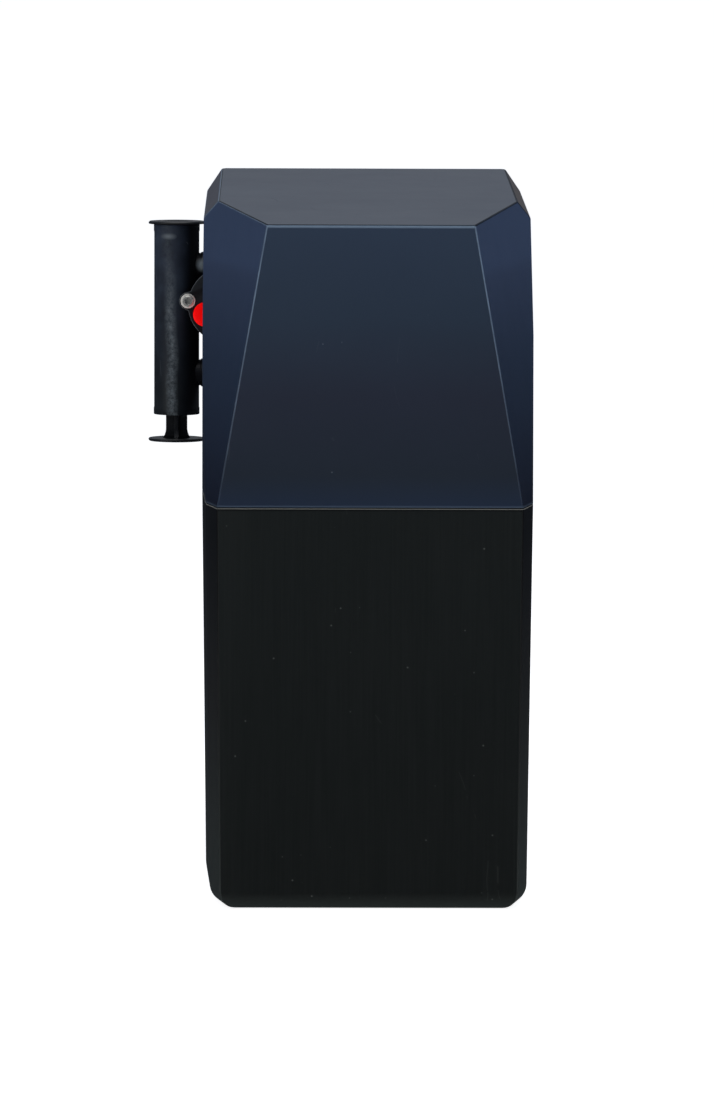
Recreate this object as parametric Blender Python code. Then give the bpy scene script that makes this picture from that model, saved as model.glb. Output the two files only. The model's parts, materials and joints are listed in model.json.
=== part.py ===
"""Cabinet water softener that works without electricity.

Two resin tanks stand at the back of a salt cabinet, under a faceted hood. The valve on the
tanks counts the water with a turbine, which turns a port disc through gears. A push-pull bypass
stands behind the cabinet's rear left edge. The front faces -Y, +Z is up, and the origin is the
centre of the cabinet's underside. All sizes are in metres.
"""

import math

import bmesh
import bpy
from mathutils import Matrix, Vector

# Cabinet and hood: plan at the seam, heights and facets
HALF_DEPTH = 0.220
HALF_WIDTH = 0.119
FRONT_HALF = 0.107
FACET_HALF = 0.115
FACET_BACK = -0.182
FLANK_START = -0.070
REAR_CHAMFER = 0.014
SEAM = 0.284
FRONT_TOP = 0.481
FRONT_TOP_HALF = 0.0725
TOP_SLOPE = 0.053
CHAMFER_WIDTH = 0.0112
CHAMFER_DROP = 0.016
WALL = 0.003
DRAFT = 0.003
FOOT_RADIUS = 0.014
TONGUE_OUTER = 0.0046
TONGUE_INNER = 0.0062
TONGUE_HEIGHT = 0.006
GAP = 0.0003
NOTCH_LEFT = -0.084
NOTCH_RIGHT = 0.032
NOTCH_TOP = 0.446

# Tanks
TANK_X = 0.055
TANK_Y = 0.130
TANK_RADIUS = 0.050
TANK_WALL = 0.003
TANK_FOOT = 0.0038
TANK_TOP = 0.360
NECK_RADIUS = 0.026
NECK_BORE = 0.021
NECK_TOP = 0.384
DOME_HEIGHT = 0.028
RISER_RADIUS = 0.010
RISER_BORE = 0.008
STRAINER_RADIUS = 0.016
STRAINER_HEIGHT = 0.036
RESIN_TOP = 0.265

# Valve on the tanks
VALVE_LOW = 0.388
VALVE_TOP = 0.418
VALVE_HALF = 0.100
VALVE_FRONT = 0.090
VALVE_BACK = 0.168
COLLAR_RADIUS = 0.033
COLLAR_LOW = 0.366
PORT_Z = 0.405
INLET_X = -0.062
OUTLET_X = -0.024
DRAIN_X = 0.014
PORT_OUTER = 0.0130
PORT_BORE = 0.0095
PORT_END = 0.206

# Gear train, all three shafts in line across the valve
MODULE = 0.00125
PINION_TEETH = 12
WHEEL_TEETH = 36
CENTRES = MODULE * (PINION_TEETH + WHEEL_TEETH) / 2
TURBINE_X = CENTRES
CONTROL_X = -CENTRES
BACKLASH = 0.00016
PRESSURE_ANGLE = math.radians(20)
GEAR_LOW = 0.4245
GEAR_THICK = 0.005
GEAR_STEP = 0.0062
CHAMBER_RADIUS = 0.0150
CHAMBER_FLOOR = 0.397
LID_THICK = 0.002
BLADE_LEAN = math.radians(20)
SHAFT_RADIUS = 0.0030
SHAFT_TOP = 0.4530
COVER_TOP = 0.447
COVER_HALF_X = 0.060
COVER_FRONT = 0.095
COVER_BACK = 0.163

# Brine well
WELL_X = 0.080
WELL_Y = 0.036
WELL_RADIUS = 0.024
WELL_WALL = 0.002
WELL_LOW = 0.0038
WELL_TOP = 0.300
FLOAT_TRAVEL = 0.110
LINE_RADIUS = 0.0028
LINE_X = WELL_X - 0.0172
ELBOW_X = 0.045
ELBOW_REACH = 0.0115

# Overflow through the rear wall
OVERFLOW_X = 0.060
OVERFLOW_Z = 0.240
OVERFLOW_HOLE = 0.0092

# Bypass behind the cabinet
BARREL_X = -0.1428
BARREL_Y = 0.254
BARREL_RADIUS = 0.0176
BARREL_BORE = 0.0125
BARREL_LOW = 0.314
BARREL_TOP = 0.460
DISC_RADIUS = 0.0216
DISC_THICK = 0.0022
SPOOL_TRAVEL = 0.018
UPPER_PORT = 0.428
LOWER_PORT = 0.346
NECK_OUTER = 0.0100
THREAD_RADIUS = 0.0132
MANIFOLD_FRONT = 0.2355
MANIFOLD_BACK = 0.266
MIXING_X = -0.1048
MIXING_Z = 0.3992
MIXING_RADIUS = 0.029
PLATE_FRONT = 0.2300
PLATE_BACK = 0.2350
BOLT_CIRCLE = 0.0292
BOLT_TURN = math.radians(174)
KNOB_X = -0.1206
KNOB_Z = 0.3922
KNOB_RADIUS = 0.0092

FINE = 32
MEDIUM = 24
COARSE = 16
UP_TO_BACK = (-math.pi / 2, 0, 0)
UP_TO_FRONT = (math.pi / 2, 0, 0)
UP_TO_RIGHT = (0, math.pi / 2, 0)


def make_finish(name, colour, roughness, metallic=0.0):
    """A Principled material with the part's plain colour."""
    finish = bpy.data.materials.new(name)
    finish.use_nodes = True
    shader = finish.node_tree.nodes["Principled BSDF"]
    shader.inputs["Base Color"].default_value = (*colour, 1.0)
    shader.inputs["Roughness"].default_value = roughness
    shader.inputs["Metallic"].default_value = metallic
    return finish


def object_from(bm, name, finish, smooth=False):
    """Turns a finished bmesh into a linked object, with its faces pointing out."""
    bmesh.ops.recalc_face_normals(bm, faces=bm.faces)
    mesh = bpy.data.meshes.new(name)
    bm.to_mesh(mesh)
    bm.free()
    if smooth:
        mesh.shade_smooth()
        mesh.set_sharp_from_angle(angle=math.radians(35))
    mesh.materials.append(finish)
    obj = bpy.data.objects.new(name, mesh)
    bpy.context.scene.collection.objects.link(obj)
    return obj


def block(name, low, high, finish, bevel=0.0, segments=1, flat_foot=False):
    """A box between two corners, with its edges bevelled, or all of them but the lowest."""
    bm = bmesh.new()
    bmesh.ops.create_cube(bm, size=1.0)
    low, high = Vector(low), Vector(high)
    bmesh.ops.scale(bm, vec=high - low, verts=bm.verts)
    bmesh.ops.translate(bm, vec=(low + high) / 2, verts=bm.verts)
    if bevel:
        middle = (low.z + high.z) / 2
        edges = [e for e in bm.edges if not flat_foot or max(v.co.z for v in e.verts) > middle]
        bmesh.ops.bevel(bm, geom=edges, offset=bevel, segments=segments, profile=0.5,
                        affect="EDGES", material=-1)
    return object_from(bm, name, finish)


def loft(name, rings, finish):
    """Joins rings of equally many points with walls, and closes the first and last ring."""
    bm = bmesh.new()
    loops = [[bm.verts.new(point) for point in ring] for ring in rings]
    count = len(loops[0])
    for lower, upper in zip(loops, loops[1:]):
        for i in range(count):
            j = (i + 1) % count
            bm.faces.new((lower[i], lower[j], upper[j], upper[i]))
    bm.faces.new(loops[0])
    bm.faces.new(loops[-1])
    return object_from(bm, name, finish)


def prism(name, outline, low, high, finish):
    """An outline in the XY plane, extruded from one height to another."""
    return loft(name, [[(x, y, z) for x, y in outline] for z in (low, high)], finish)


def turned(name, profile, finish, at=(0, 0, 0), turn=(0, 0, 0), segments=MEDIUM):
    """Spins (radius, height) points round Z. A profile that stays off the axis closes into a ring."""
    bm = bmesh.new()
    points = [bm.verts.new((radius, 0, height)) for radius, height in profile]
    edges = [bm.edges.new(pair) for pair in zip(points, points[1:])]
    if profile[0][0] > 0:
        edges.append(bm.edges.new((points[-1], points[0])))
    bmesh.ops.spin(bm, geom=points + edges, cent=(0, 0, 0), axis=(0, 0, 1), angle=math.tau, steps=segments)
    bmesh.ops.remove_doubles(bm, verts=bm.verts, dist=1e-6)
    obj = object_from(bm, name, finish, smooth=True)
    obj.data.transform(Matrix.Translation(at) @ rotation(turn))
    return obj


def rotation(turn):
    """The matrix of three Euler angles."""
    about_x, about_y, about_z = (Matrix.Rotation(a, 4, axis) for a, axis in zip(turn, "XYZ"))
    return about_z @ about_y @ about_x


def rod(name, radius, length, finish, at, turn=(0, 0, 0), segments=MEDIUM):
    """A plain cylinder that starts at a point."""
    profile = [(0, 0), (radius, 0), (radius, length), (0, length)]
    return turned(name, profile, finish, at, turn, segments)


def tube(name, outer, inner, length, finish, at, turn=(0, 0, 0), segments=MEDIUM):
    """A plain pipe that starts at a point."""
    profile = [(inner, 0), (outer, 0), (outer, length), (inner, length)]
    return turned(name, profile, finish, at, turn, segments)


def combine(target, tool, operation):
    """Applies a Boolean of a second object to the first, and removes the second."""
    modifier = target.modifiers.new(operation.title(), "BOOLEAN")
    modifier.object = tool
    modifier.operation = operation
    modifier.solver = "EXACT"
    graph = bpy.context.evaluated_depsgraph_get()
    result = bpy.data.meshes.new_from_object(target.evaluated_get(graph))
    target.modifiers.clear()
    target.data = result
    bpy.data.objects.remove(tool)
    return target


def join(target, *tools):
    for tool in tools:
        combine(target, tool, "UNION")
    return target


def cut(target, *tools):
    for tool in tools:
        combine(target, tool, "DIFFERENCE")
    return target


def hang_on(obj, pivot):
    """Puts a moving piece's origin on its joint, without moving the piece."""
    obj.data.transform(Matrix.Translation(-Vector(pivot)))
    obj.location = pivot


def cabinet_outline():
    """Plan of the cabinet at the seam, anticlockwise from the front right corner."""
    right = [
        (FRONT_HALF, -HALF_DEPTH),
        (FACET_HALF, FACET_BACK),
        (HALF_WIDTH, FLANK_START),
        (HALF_WIDTH, HALF_DEPTH - REAR_CHAMFER),
        (HALF_WIDTH - REAR_CHAMFER, HALF_DEPTH),
    ]
    return right + [(-x, y) for x, y in reversed(right)]


def inset(points, distance):
    """Moves every side of a convex outline inwards by the same distance."""
    lines = []
    for (x0, y0), (x1, y1) in zip(points, points[1:] + points[:1]):
        length = math.hypot(x1 - x0, y1 - y0)
        nx, ny = (y0 - y1) / length, (x1 - x0) / length
        lines.append((nx, ny, nx * x0 + ny * y0 + distance))
    corners = []
    for (a0, b0, c0), (a1, b1, c1) in zip(lines[-1:] + lines[:-1], lines):
        across = a0 * b1 - a1 * b0
        corners.append(((c0 * b1 - c1 * b0) / across, (a0 * c1 - a1 * c0) / across))
    return corners


def foot_arc(start_inset, floor, radius, steps=4):
    """(inset, height) points of the rounded foot, from the floor up to the wall."""
    angles = [math.pi / 2 * i / steps for i in range(steps + 1)]
    return [(start_inset + radius * (1 - math.sin(a)), floor + radius * (1 - math.cos(a))) for a in angles]


def make_cabinet(plastic):
    """The salt cabinet: one shell with drafted walls, a rounded foot and a tongue that centres the hood."""
    outside = foot_arc(DRAFT, 0, FOOT_RADIUS)
    inside = foot_arc(DRAFT + WALL, WALL, FOOT_RADIUS - WALL)
    shoulder = SEAM - GAP
    rim = [
        (0, shoulder - 0.0006),
        (0.0006, shoulder),
        (TONGUE_OUTER, shoulder),
        (TONGUE_OUTER, SEAM + TONGUE_HEIGHT),
        (TONGUE_INNER, SEAM + TONGUE_HEIGHT),
        (TONGUE_INNER, SEAM - 0.008),
        (WALL, SEAM - 0.013),
    ]
    rings = [
        [(x, y, height) for x, y in inset(cabinet_outline(), distance)]
        for distance, height in outside + rim + inside[::-1]
    ]
    cabinet = loft("cabinet_base", rings, plastic)
    start = (OVERFLOW_X, HALF_DEPTH - 0.020, OVERFLOW_Z)
    return cut(cabinet, rod("overflow_hole", OVERFLOW_HOLE, 0.03, plastic, start, UP_TO_BACK, COARSE))


def cut_to_plane(bm, point, normal):
    """Removes what lies beyond a plane, and closes the cut."""
    found = bmesh.ops.bisect_plane(bm, geom=bm.verts[:] + bm.edges[:] + bm.faces[:], plane_co=point,
                                   plane_no=normal, clear_outer=True, dist=1e-7)
    rim = [e for e in found["geom_cut"] if isinstance(e, bmesh.types.BMEdge)]
    bmesh.ops.contextual_create(bm, geom=rim)


def hood_planes():
    """(point, outward normal) of the sloping top, the two corner facets and the two top chamfers."""
    top = Vector((0, -HALF_DEPTH, FRONT_TOP))
    planes = [(top, Vector((0, -TOP_SLOPE, 1)).normalized())]
    for side in (-1, 1):
        low_front = Vector((side * FRONT_HALF, -HALF_DEPTH, SEAM))
        low_back = Vector((side * FACET_HALF, FACET_BACK, SEAM))
        high_front = Vector((side * FRONT_TOP_HALF, -HALF_DEPTH, FRONT_TOP))
        facet = (low_back - low_front).cross(high_front - low_front).normalized() * side
        planes.append((low_front, facet))
        crest = top + Vector((side * (HALF_WIDTH - CHAMFER_WIDTH), 0, 0))
        along = Vector((0, 1, TOP_SLOPE))
        down = Vector((side * CHAMFER_WIDTH, 0, -CHAMFER_DROP))
        planes.append((crest, down.cross(along).normalized() * side))
    return planes


def hood_block(name, shrink, low, finish, edge=0.0):
    """The faceted body of the hood, shrunk by a wall's thickness for its inside."""
    ceiling = 0.560
    bm = bmesh.new()
    outline = inset(cabinet_outline(), shrink)
    floor = bm.faces.new([bm.verts.new((x, y, low)) for x, y in outline])
    raised = bmesh.ops.extrude_face_region(bm, geom=[floor])
    top = [v for v in raised["geom"] if isinstance(v, bmesh.types.BMVert)]
    bmesh.ops.translate(bm, vec=(0, 0, ceiling - low), verts=top)
    bmesh.ops.recalc_face_normals(bm, faces=bm.faces)
    for point, normal in hood_planes():
        cut_to_plane(bm, point - normal * shrink, normal)
    if edge:
        crests = [e for e in bm.edges if max(v.co.z for v in e.verts) > low + edge]
        bmesh.ops.bevel(bm, geom=crests, offset=edge, segments=1, profile=0.5, affect="EDGES", material=-1)
    return object_from(bm, name, finish)


def make_hood(plastic):
    """The lift-off hood, open below and notched at the rear for the pipes."""
    hood = hood_block("hood", 0, SEAM, plastic, edge=0.0012)
    hood = cut(hood, hood_block("hood_inside", WALL, SEAM - 0.02, plastic))
    notch = block("hood_notch", (NOTCH_LEFT, HALF_DEPTH - 0.02, SEAM - 0.03),
                  (NOTCH_RIGHT, HALF_DEPTH + 0.02, NOTCH_TOP), plastic)
    hood = cut(hood, notch)
    hang_on(hood, (0, 0, SEAM))
    return hood


def many_boxes(name, boxes, finish):
    """Separate boxes in one mesh, used as one cutter."""
    bm = bmesh.new()
    for low, high in boxes:
        low, high = Vector(low), Vector(high)
        made = bmesh.ops.create_cube(bm, size=1.0)["verts"]
        bmesh.ops.scale(bm, vec=high - low, verts=made)
        bmesh.ops.translate(bm, vec=(low + high) / 2, verts=made)
    return object_from(bm, name, finish)


def make_salt_grid(plastic):
    """The slotted shelf that keeps the salt out of the brine, on four legs."""
    left, right = -0.100, 0.048
    front, back = -0.198, 0.068
    low, high = 0.040, 0.044
    slot_half = 0.004
    grid = block("salt_grid", (left, front, low), (right, back, high), plastic, bevel=0.001)
    slots = 8
    pitch = (right - left) / (slots + 1)
    boxes = []
    for i in range(slots):
        x = left + pitch * (i + 1)
        for y0, y1 in ((front + 0.014, -0.075), (-0.055, back - 0.014)):
            boxes.append(((x - slot_half, y0, low - 0.01), (x + slot_half, y1, high + 0.01)))
    cut(grid, many_boxes("grid_slots", boxes, plastic))
    leg_foot = WALL + GAP
    leg_length = low + 0.002 - leg_foot
    for x in (left + 0.012, right - 0.007):
        for y in (front + 0.009, back - 0.007):
            join(grid, rod("grid_leg", 0.005, leg_length, plastic, (x, y, leg_foot), segments=8))
    hang_on(grid, ((left + right) / 2, (front + back) / 2, low))


def dome(radius, rise, steps=4):
    """(radius, height) points of an elliptical end, from its rim to near its pole."""
    angles = [math.pi / 2 * i / steps for i in range(steps)]
    return [(radius * math.cos(a), rise * math.sin(a)) for a in angles]


def make_tank(side, shell):
    """A pressure tank with domed ends and an open threaded neck."""
    name = "tank_left" if side < 0 else "tank_right"
    inner = TANK_RADIUS - TANK_WALL
    foot = 0.018
    shoulder = TANK_TOP - DOME_HEIGHT
    outer_dome = [(r, shoulder + h) for r, h in dome(TANK_RADIUS, DOME_HEIGHT) if r > NECK_RADIUS]
    inner_dome = [(r, shoulder + h) for r, h in dome(inner, DOME_HEIGHT - TANK_WALL) if r > NECK_BORE + 0.002]
    profile = [
        (0, TANK_FOOT),
        (0.034, TANK_FOOT),
        (0.045, TANK_FOOT + 0.005),
        (TANK_RADIUS, TANK_FOOT + foot),
        *outer_dome,
        (NECK_RADIUS, TANK_TOP - 0.004),
        (NECK_RADIUS, NECK_TOP),
        (NECK_BORE, NECK_TOP),
        (NECK_BORE, TANK_TOP - 0.006),
        *inner_dome[::-1],
        (inner, TANK_FOOT + foot),
        (0.042, TANK_FOOT + 0.008),
        (0.030, TANK_FOOT + TANK_WALL),
        (0, TANK_FOOT + TANK_WALL),
    ]
    return turned(name, profile, shell, (side * TANK_X, TANK_Y, 0))


def make_tank_insides(side, plastic, rubber, beads):
    """Riser pipe, bottom strainer, resin bed and neck seal of one tank."""
    hand = "left" if side < 0 else "right"
    at = (side * TANK_X, TANK_Y, 0)
    low = 0.012
    top = low + STRAINER_HEIGHT
    strainer = [
        (0, low),
        (STRAINER_RADIUS, low),
        (STRAINER_RADIUS, top - 0.008),
        (RISER_RADIUS + 0.003, top),
        (RISER_RADIUS + GAP, top),
        (RISER_RADIUS + GAP, low + 0.010),
        (0, low + 0.010),
    ]
    turned(f"strainer_{hand}", strainer, plastic, at, segments=COARSE)
    riser_low = low + 0.010 + GAP
    tube(f"riser_{hand}", RISER_RADIUS, RISER_BORE, NECK_TOP - 0.001 - riser_low, plastic,
         (at[0], at[1], riser_low), segments=COARSE)
    clear = 0.0006
    bed = [
        (STRAINER_RADIUS + clear, 0.024),
        (TANK_RADIUS - TANK_WALL - clear, 0.024),
        (TANK_RADIUS - TANK_WALL - clear, RESIN_TOP),
        (RISER_RADIUS + clear, RESIN_TOP),
        (RISER_RADIUS + clear, top + clear),
        (STRAINER_RADIUS + clear, top + clear),
    ]
    turned(f"resin_bed_{hand}", bed, beads, at, segments=MEDIUM)
    seal_low = NECK_TOP + GAP
    seal = [(NECK_BORE + 0.0005, seal_low), (NECK_RADIUS - 0.0005, seal_low),
            (NECK_RADIUS - 0.0005, VALVE_LOW - GAP), (NECK_BORE + 0.0005, VALVE_LOW - GAP)]
    turned(f"tank_seal_{hand}", seal, rubber, at, segments=MEDIUM)


def make_valve_body(plastic):
    """The moulded valve: a deck, screwed collars, two pipe stubs, a drain boss and two chambers."""
    body = block("valve_body", (-VALVE_HALF, VALVE_FRONT, VALVE_LOW), (VALVE_HALF, VALVE_BACK, VALVE_TOP),
                 plastic, bevel=0.004)
    bore = NECK_RADIUS + GAP
    wide = COLLAR_RADIUS + 0.002
    collar = [
        (bore, COLLAR_LOW),
        (COLLAR_RADIUS, COLLAR_LOW),
        (wide, COLLAR_LOW + 0.004),
        (wide, VALVE_LOW + 0.006),
        (bore, VALVE_LOW + 0.006),
    ]
    for side in (-1, 1):
        x = side * TANK_X
        join(body, turned("collar", collar, plastic, (x, TANK_Y, 0)))
        seat = (x, TANK_Y, VALVE_LOW - 0.005)
        cut(body, rod("riser_seat", RISER_BORE, 0.012, plastic, seat, segments=COARSE))
    start = VALVE_BACK - 0.012
    for x in (INLET_X, OUTLET_X):
        join(body, rod("stub", PORT_OUTER, PORT_END - start, plastic, (x, start, PORT_Z), UP_TO_BACK))
        cut(body, rod("stub_bore", PORT_BORE, 0.06, plastic, (x, start, PORT_Z), UP_TO_BACK))
    join(body, rod("drain_boss", 0.0084, 0.020, plastic, (DRAIN_X, start, PORT_Z), UP_TO_BACK, COARSE))
    inside = (DRAIN_X, start + 0.004, PORT_Z)
    cut(body, rod("drain_bore", 0.0055, 0.03, plastic, inside, UP_TO_BACK, COARSE))
    for x in (TURBINE_X, CONTROL_X):
        cut(body, rod("chamber", CHAMBER_RADIUS, 0.03, plastic, (x, TANK_Y, CHAMBER_FLOOR)))
        foot = (x, TANK_Y, CHAMBER_FLOOR - 0.001)
        join(body, rod("pivot_pin", 0.0012, 0.0055, plastic, foot, segments=8))
    join(body, rod("lay_pin", 0.0018, 0.018, plastic, (0, TANK_Y, VALVE_TOP - 0.001), segments=12))
    return body


def involute(angle):
    return math.tan(angle) - angle


def gear_outline(teeth, centre, turn):
    """Involute teeth of the train's module, with a tooth centred on the angle turn."""
    pitch = MODULE * teeth / 2
    base = pitch * math.cos(PRESSURE_ANGLE)
    root, tip = pitch - 1.15 * MODULE, pitch + 0.85 * MODULE
    half_at_pitch = math.pi / (2 * teeth) - BACKLASH / (2 * pitch)

    def half_width(radius):
        angle = math.acos(base / radius) if radius > base else 0.0
        return half_at_pitch + involute(PRESSURE_ANGLE) - involute(angle)

    flank = [(root, 0.86 * half_width(base)), (pitch, half_at_pitch), (tip, half_width(tip))]
    points = []
    for tooth in range(teeth):
        middle = turn + math.tau * tooth / teeth
        sides = [(r, middle - a) for r, a in flank] + [(r, middle + a) for r, a in reversed(flank)]
        points += [(centre[0] + r * math.cos(a), centre[1] + r * math.sin(a)) for r, a in sides]
    return points


def make_turbine(acetal):
    """The bladed wheel that the water turns, and the pinion on its shaft."""
    at = (TURBINE_X, TANK_Y)
    low, high = 0.4008, 0.412
    shaft_top = GEAR_LOW + 0.001
    hub = [
        (0.0015, low),
        (0.005, low),
        (0.005, high),
        (0.002, high),
        (0.002, shaft_top),
        (0, shaft_top),
        (0, low + 0.0022),
        (0.0015, low + 0.0022),
    ]
    turbine = turned("turbine", hub, acetal, (*at, 0), segments=12)
    blades = 8
    reach = CHAMBER_RADIUS - 0.0015
    for i in range(blades):
        blade = block("blade", (0.004, -0.0007, -0.005), (reach, 0.0007, 0.005), acetal)
        spin = Matrix.Rotation(math.tau * i / blades, 4, "Z") @ Matrix.Rotation(BLADE_LEAN, 4, "X")
        blade.data.transform(Matrix.Translation((*at, (low + high) / 2)) @ spin)
        join(turbine, blade)
    teeth = gear_outline(PINION_TEETH, at, math.pi / PINION_TEETH)
    join(turbine, prism("pinion", teeth, GEAR_LOW, GEAR_LOW + GEAR_THICK, acetal))
    hang_on(turbine, (*at, GEAR_LOW))


def make_lay_gear(acetal):
    """The double gear between the turbine and the control gear."""
    at = (0, TANK_Y)
    lay = prism("lay_gear", gear_outline(WHEEL_TEETH, at, 0), GEAR_LOW, GEAR_LOW + GEAR_THICK, acetal)
    pinion = gear_outline(PINION_TEETH, at, 0)
    top = GEAR_LOW + GEAR_STEP + GEAR_THICK
    join(lay, prism("lay_pinion", pinion, GEAR_LOW + 0.002, top, acetal))
    cut(lay, rod("lay_bore", 0.0019, 0.02, acetal, (*at, GEAR_LOW - 0.002), segments=12))
    hang_on(lay, (*at, GEAR_LOW))


def make_control_gear(acetal, ceramic):
    """The control gear on its shaft, and the ported disc that the shaft turns."""
    at = (CONTROL_X, TANK_Y)
    low = GEAR_LOW + GEAR_STEP
    teeth = gear_outline(WHEEL_TEETH, at, math.pi / WHEEL_TEETH)
    control = prism("control_gear", teeth, low, low + GEAR_THICK, acetal)
    shaft = [(0, 0.4030), (SHAFT_RADIUS, 0.4030), (SHAFT_RADIUS, SHAFT_TOP), (0, SHAFT_TOP)]
    join(control, turned("control_shaft", shaft, acetal, (*at, 0), segments=12))
    hang_on(control, (*at, GEAR_LOW))
    bore, rim = SHAFT_RADIUS + GAP, CHAMBER_RADIUS - 0.0012
    under, face = 0.4040, 0.4090
    ring = [(bore, under), (rim, under), (rim, face), (bore, face)]
    disc = turned("port_disc", ring, ceramic, (*at, 0), segments=MEDIUM)
    for x in (-0.0085, 0.0085):
        cut(disc, rod("disc_port", 0.0030, 0.012, ceramic, (at[0] + x, at[1], under - 0.004), segments=12))
    hang_on(disc, (*at, GEAR_LOW))


def make_gear_cover(plastic, steel, acetal):
    """The cover over the gears with its four screws, and the lids of the two chambers below it."""
    low = VALVE_TOP + GAP
    wall = 0.0025
    cover = block("gear_cover", (-COVER_HALF_X, COVER_FRONT, low), (COVER_HALF_X, COVER_BACK, COVER_TOP),
                  plastic, bevel=0.003, segments=2, flat_foot=True)
    cut(cover, block("cover_inside", (-COVER_HALF_X + wall, COVER_FRONT + wall, low - 0.01),
                     (COVER_HALF_X - wall, COVER_BACK - wall, COVER_TOP - wall), plastic))
    above_shaft = (CONTROL_X, TANK_Y, COVER_TOP - 0.01)
    cut(cover, rod("knob_hole", 0.0036, 0.02, plastic, above_shaft, segments=COARSE))
    corner, half = 0.007, 0.005
    screw = [
        (0, low + 0.004),
        (0.0015, low + 0.004),
        (0.0015, COVER_TOP + GAP),
        (0.0032, COVER_TOP + GAP),
        (0.0032, COVER_TOP + 0.0016),
        (0.0020, COVER_TOP + 0.0026),
        (0, COVER_TOP + 0.0026),
    ]
    number = 0
    for x in (-COVER_HALF_X + corner, COVER_HALF_X - corner):
        for y in (COVER_FRONT + corner, COVER_BACK - corner):
            number += 1
            pillar_top = (x + half, y + half, COVER_TOP - 0.001)
            join(cover, block("pillar", (x - half, y - half, low), pillar_top, plastic))
            cut(cover, rod("screw_hole", 0.0019, 0.06, plastic, (x, y, low - 0.01), segments=12))
            turned(f"cover_screw_{number}", screw, steel, (x, y, 0), segments=12)
    lid_low = VALVE_TOP - LID_THICK - GAP
    for name, x, hole in (("turbine_lid", TURBINE_X, 0.0023), ("disc_lid", CONTROL_X, SHAFT_RADIUS + GAP)):
        tube(name, CHAMBER_RADIUS - GAP, hole, LID_THICK, acetal, (x, TANK_Y, lid_low))


def make_advance_knob(plastic):
    """The slotted knob on the control shaft, for starting a regeneration by hand."""
    bore = SHAFT_RADIUS + GAP
    low = COVER_TOP + 0.0010
    high = low + 0.010
    knob = [
        (bore, low),
        (0.0105, low),
        (0.0120, low + 0.002),
        (0.0110, high),
        (0, high),
        (0, SHAFT_TOP + GAP),
        (bore, SHAFT_TOP + GAP),
    ]
    advance = turned("advance_knob", knob, plastic, (CONTROL_X, TANK_Y, 0))
    slot_half, slot_reach = 0.0012, 0.009
    cut(advance, block("knob_slot", (CONTROL_X - slot_reach, TANK_Y - slot_half, high - 0.003),
                       (CONTROL_X + slot_reach, TANK_Y + slot_half, high + 0.01), plastic))
    hang_on(advance, (CONTROL_X, TANK_Y, GEAR_LOW))


def make_small_fittings(plastic):
    """Injector cap and brine elbow on the valve's front, and the drain spigot through the rear notch."""
    face = VALVE_FRONT - GAP
    z = (VALVE_LOW + VALVE_TOP) / 2
    cap = [(0, 0), (0.011, 0), (0.011, 0.010), (0.009, 0.013), (0.005, 0.013), (0.005, 0.018), (0, 0.018)]
    turned("injector_cap", cap, plastic, (-ELBOW_X, face, z), UP_TO_FRONT, segments=12)
    elbow = rod("brine_elbow", 0.0062, 0.017, plastic, (ELBOW_X, face, z), UP_TO_FRONT, COARSE)
    drop_y = face - ELBOW_REACH
    join(elbow, rod("elbow_drop", 0.0055, 0.022, plastic, (ELBOW_X, drop_y, 0.385), segments=COARSE))
    cut(elbow, rod("elbow_bore", LINE_RADIUS + GAP, 0.012, plastic, (ELBOW_X, drop_y, 0.380), segments=12))
    start = VALVE_BACK + 0.0083
    spigot = [(0.0036, 0), (0.0082, 0), (0.0082, 0.006), (0.0057, 0.008), (0.0057, 0.030)]
    for rib in range(3):
        z = 0.030 + 0.008 * rib
        spigot += [(0.0072, z), (0.0057, z + 0.008)]
    spigot += [(0.0054, 0.0545), (0.0036, 0.0545)]
    turned("drain_spigot", spigot, plastic, (DRAIN_X, start, PORT_Z), UP_TO_BACK, COARSE)


def smooth_route(points, step):
    """Points along a Catmull-Rom curve through the route, about one step apart."""
    ends = [points[0] * 2 - points[1], *points, points[-1] * 2 - points[-2]]
    route = [points[0]]
    for a, b, c, d in zip(ends, ends[1:], ends[2:], ends[3:]):
        pieces = max(2, round((c - b).length / step))
        for i in range(1, pieces + 1):
            t = i / pieces
            route.append(0.5 * (2 * b + (c - a) * t + (2 * a - 5 * b + 4 * c - d) * t * t
                                + (3 * b - a - 3 * c + d) * t * t * t))
    return route


def make_brine_line(plastic):
    """The brine tube: up the well beside the float, over its rim, and back to the valve's elbow."""
    end_y = VALVE_FRONT - GAP - ELBOW_REACH
    rising = [(LINE_X, WELL_Y, z) for z in (0.0436, 0.120, 0.200, 0.270, 0.315)]
    across = [(0.0612, 0.038, 0.334), (0.0560, 0.050, 0.350), (0.0485, 0.068, 0.360), (0.0455, 0.0765, 0.368)]
    entering = [(ELBOW_X, end_y, z) for z in (0.376, 0.384, 0.3915)]
    points = [Vector(place) for place in rising + across + entering]
    curve = bpy.data.curves.new("brine_line", "CURVE")
    curve.dimensions = "3D"
    curve.bevel_depth = LINE_RADIUS
    curve.bevel_resolution = 2
    curve.use_fill_caps = True
    route = smooth_route(points, 6 * LINE_RADIUS)
    spline = curve.splines.new("POLY")
    spline.points.add(len(route) - 1)
    for point, place in zip(spline.points, route):
        point.co = (*place, 1.0)
    curve.materials.append(plastic)
    line = bpy.data.objects.new("brine_line", curve)
    bpy.context.scene.collection.objects.link(line)


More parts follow.
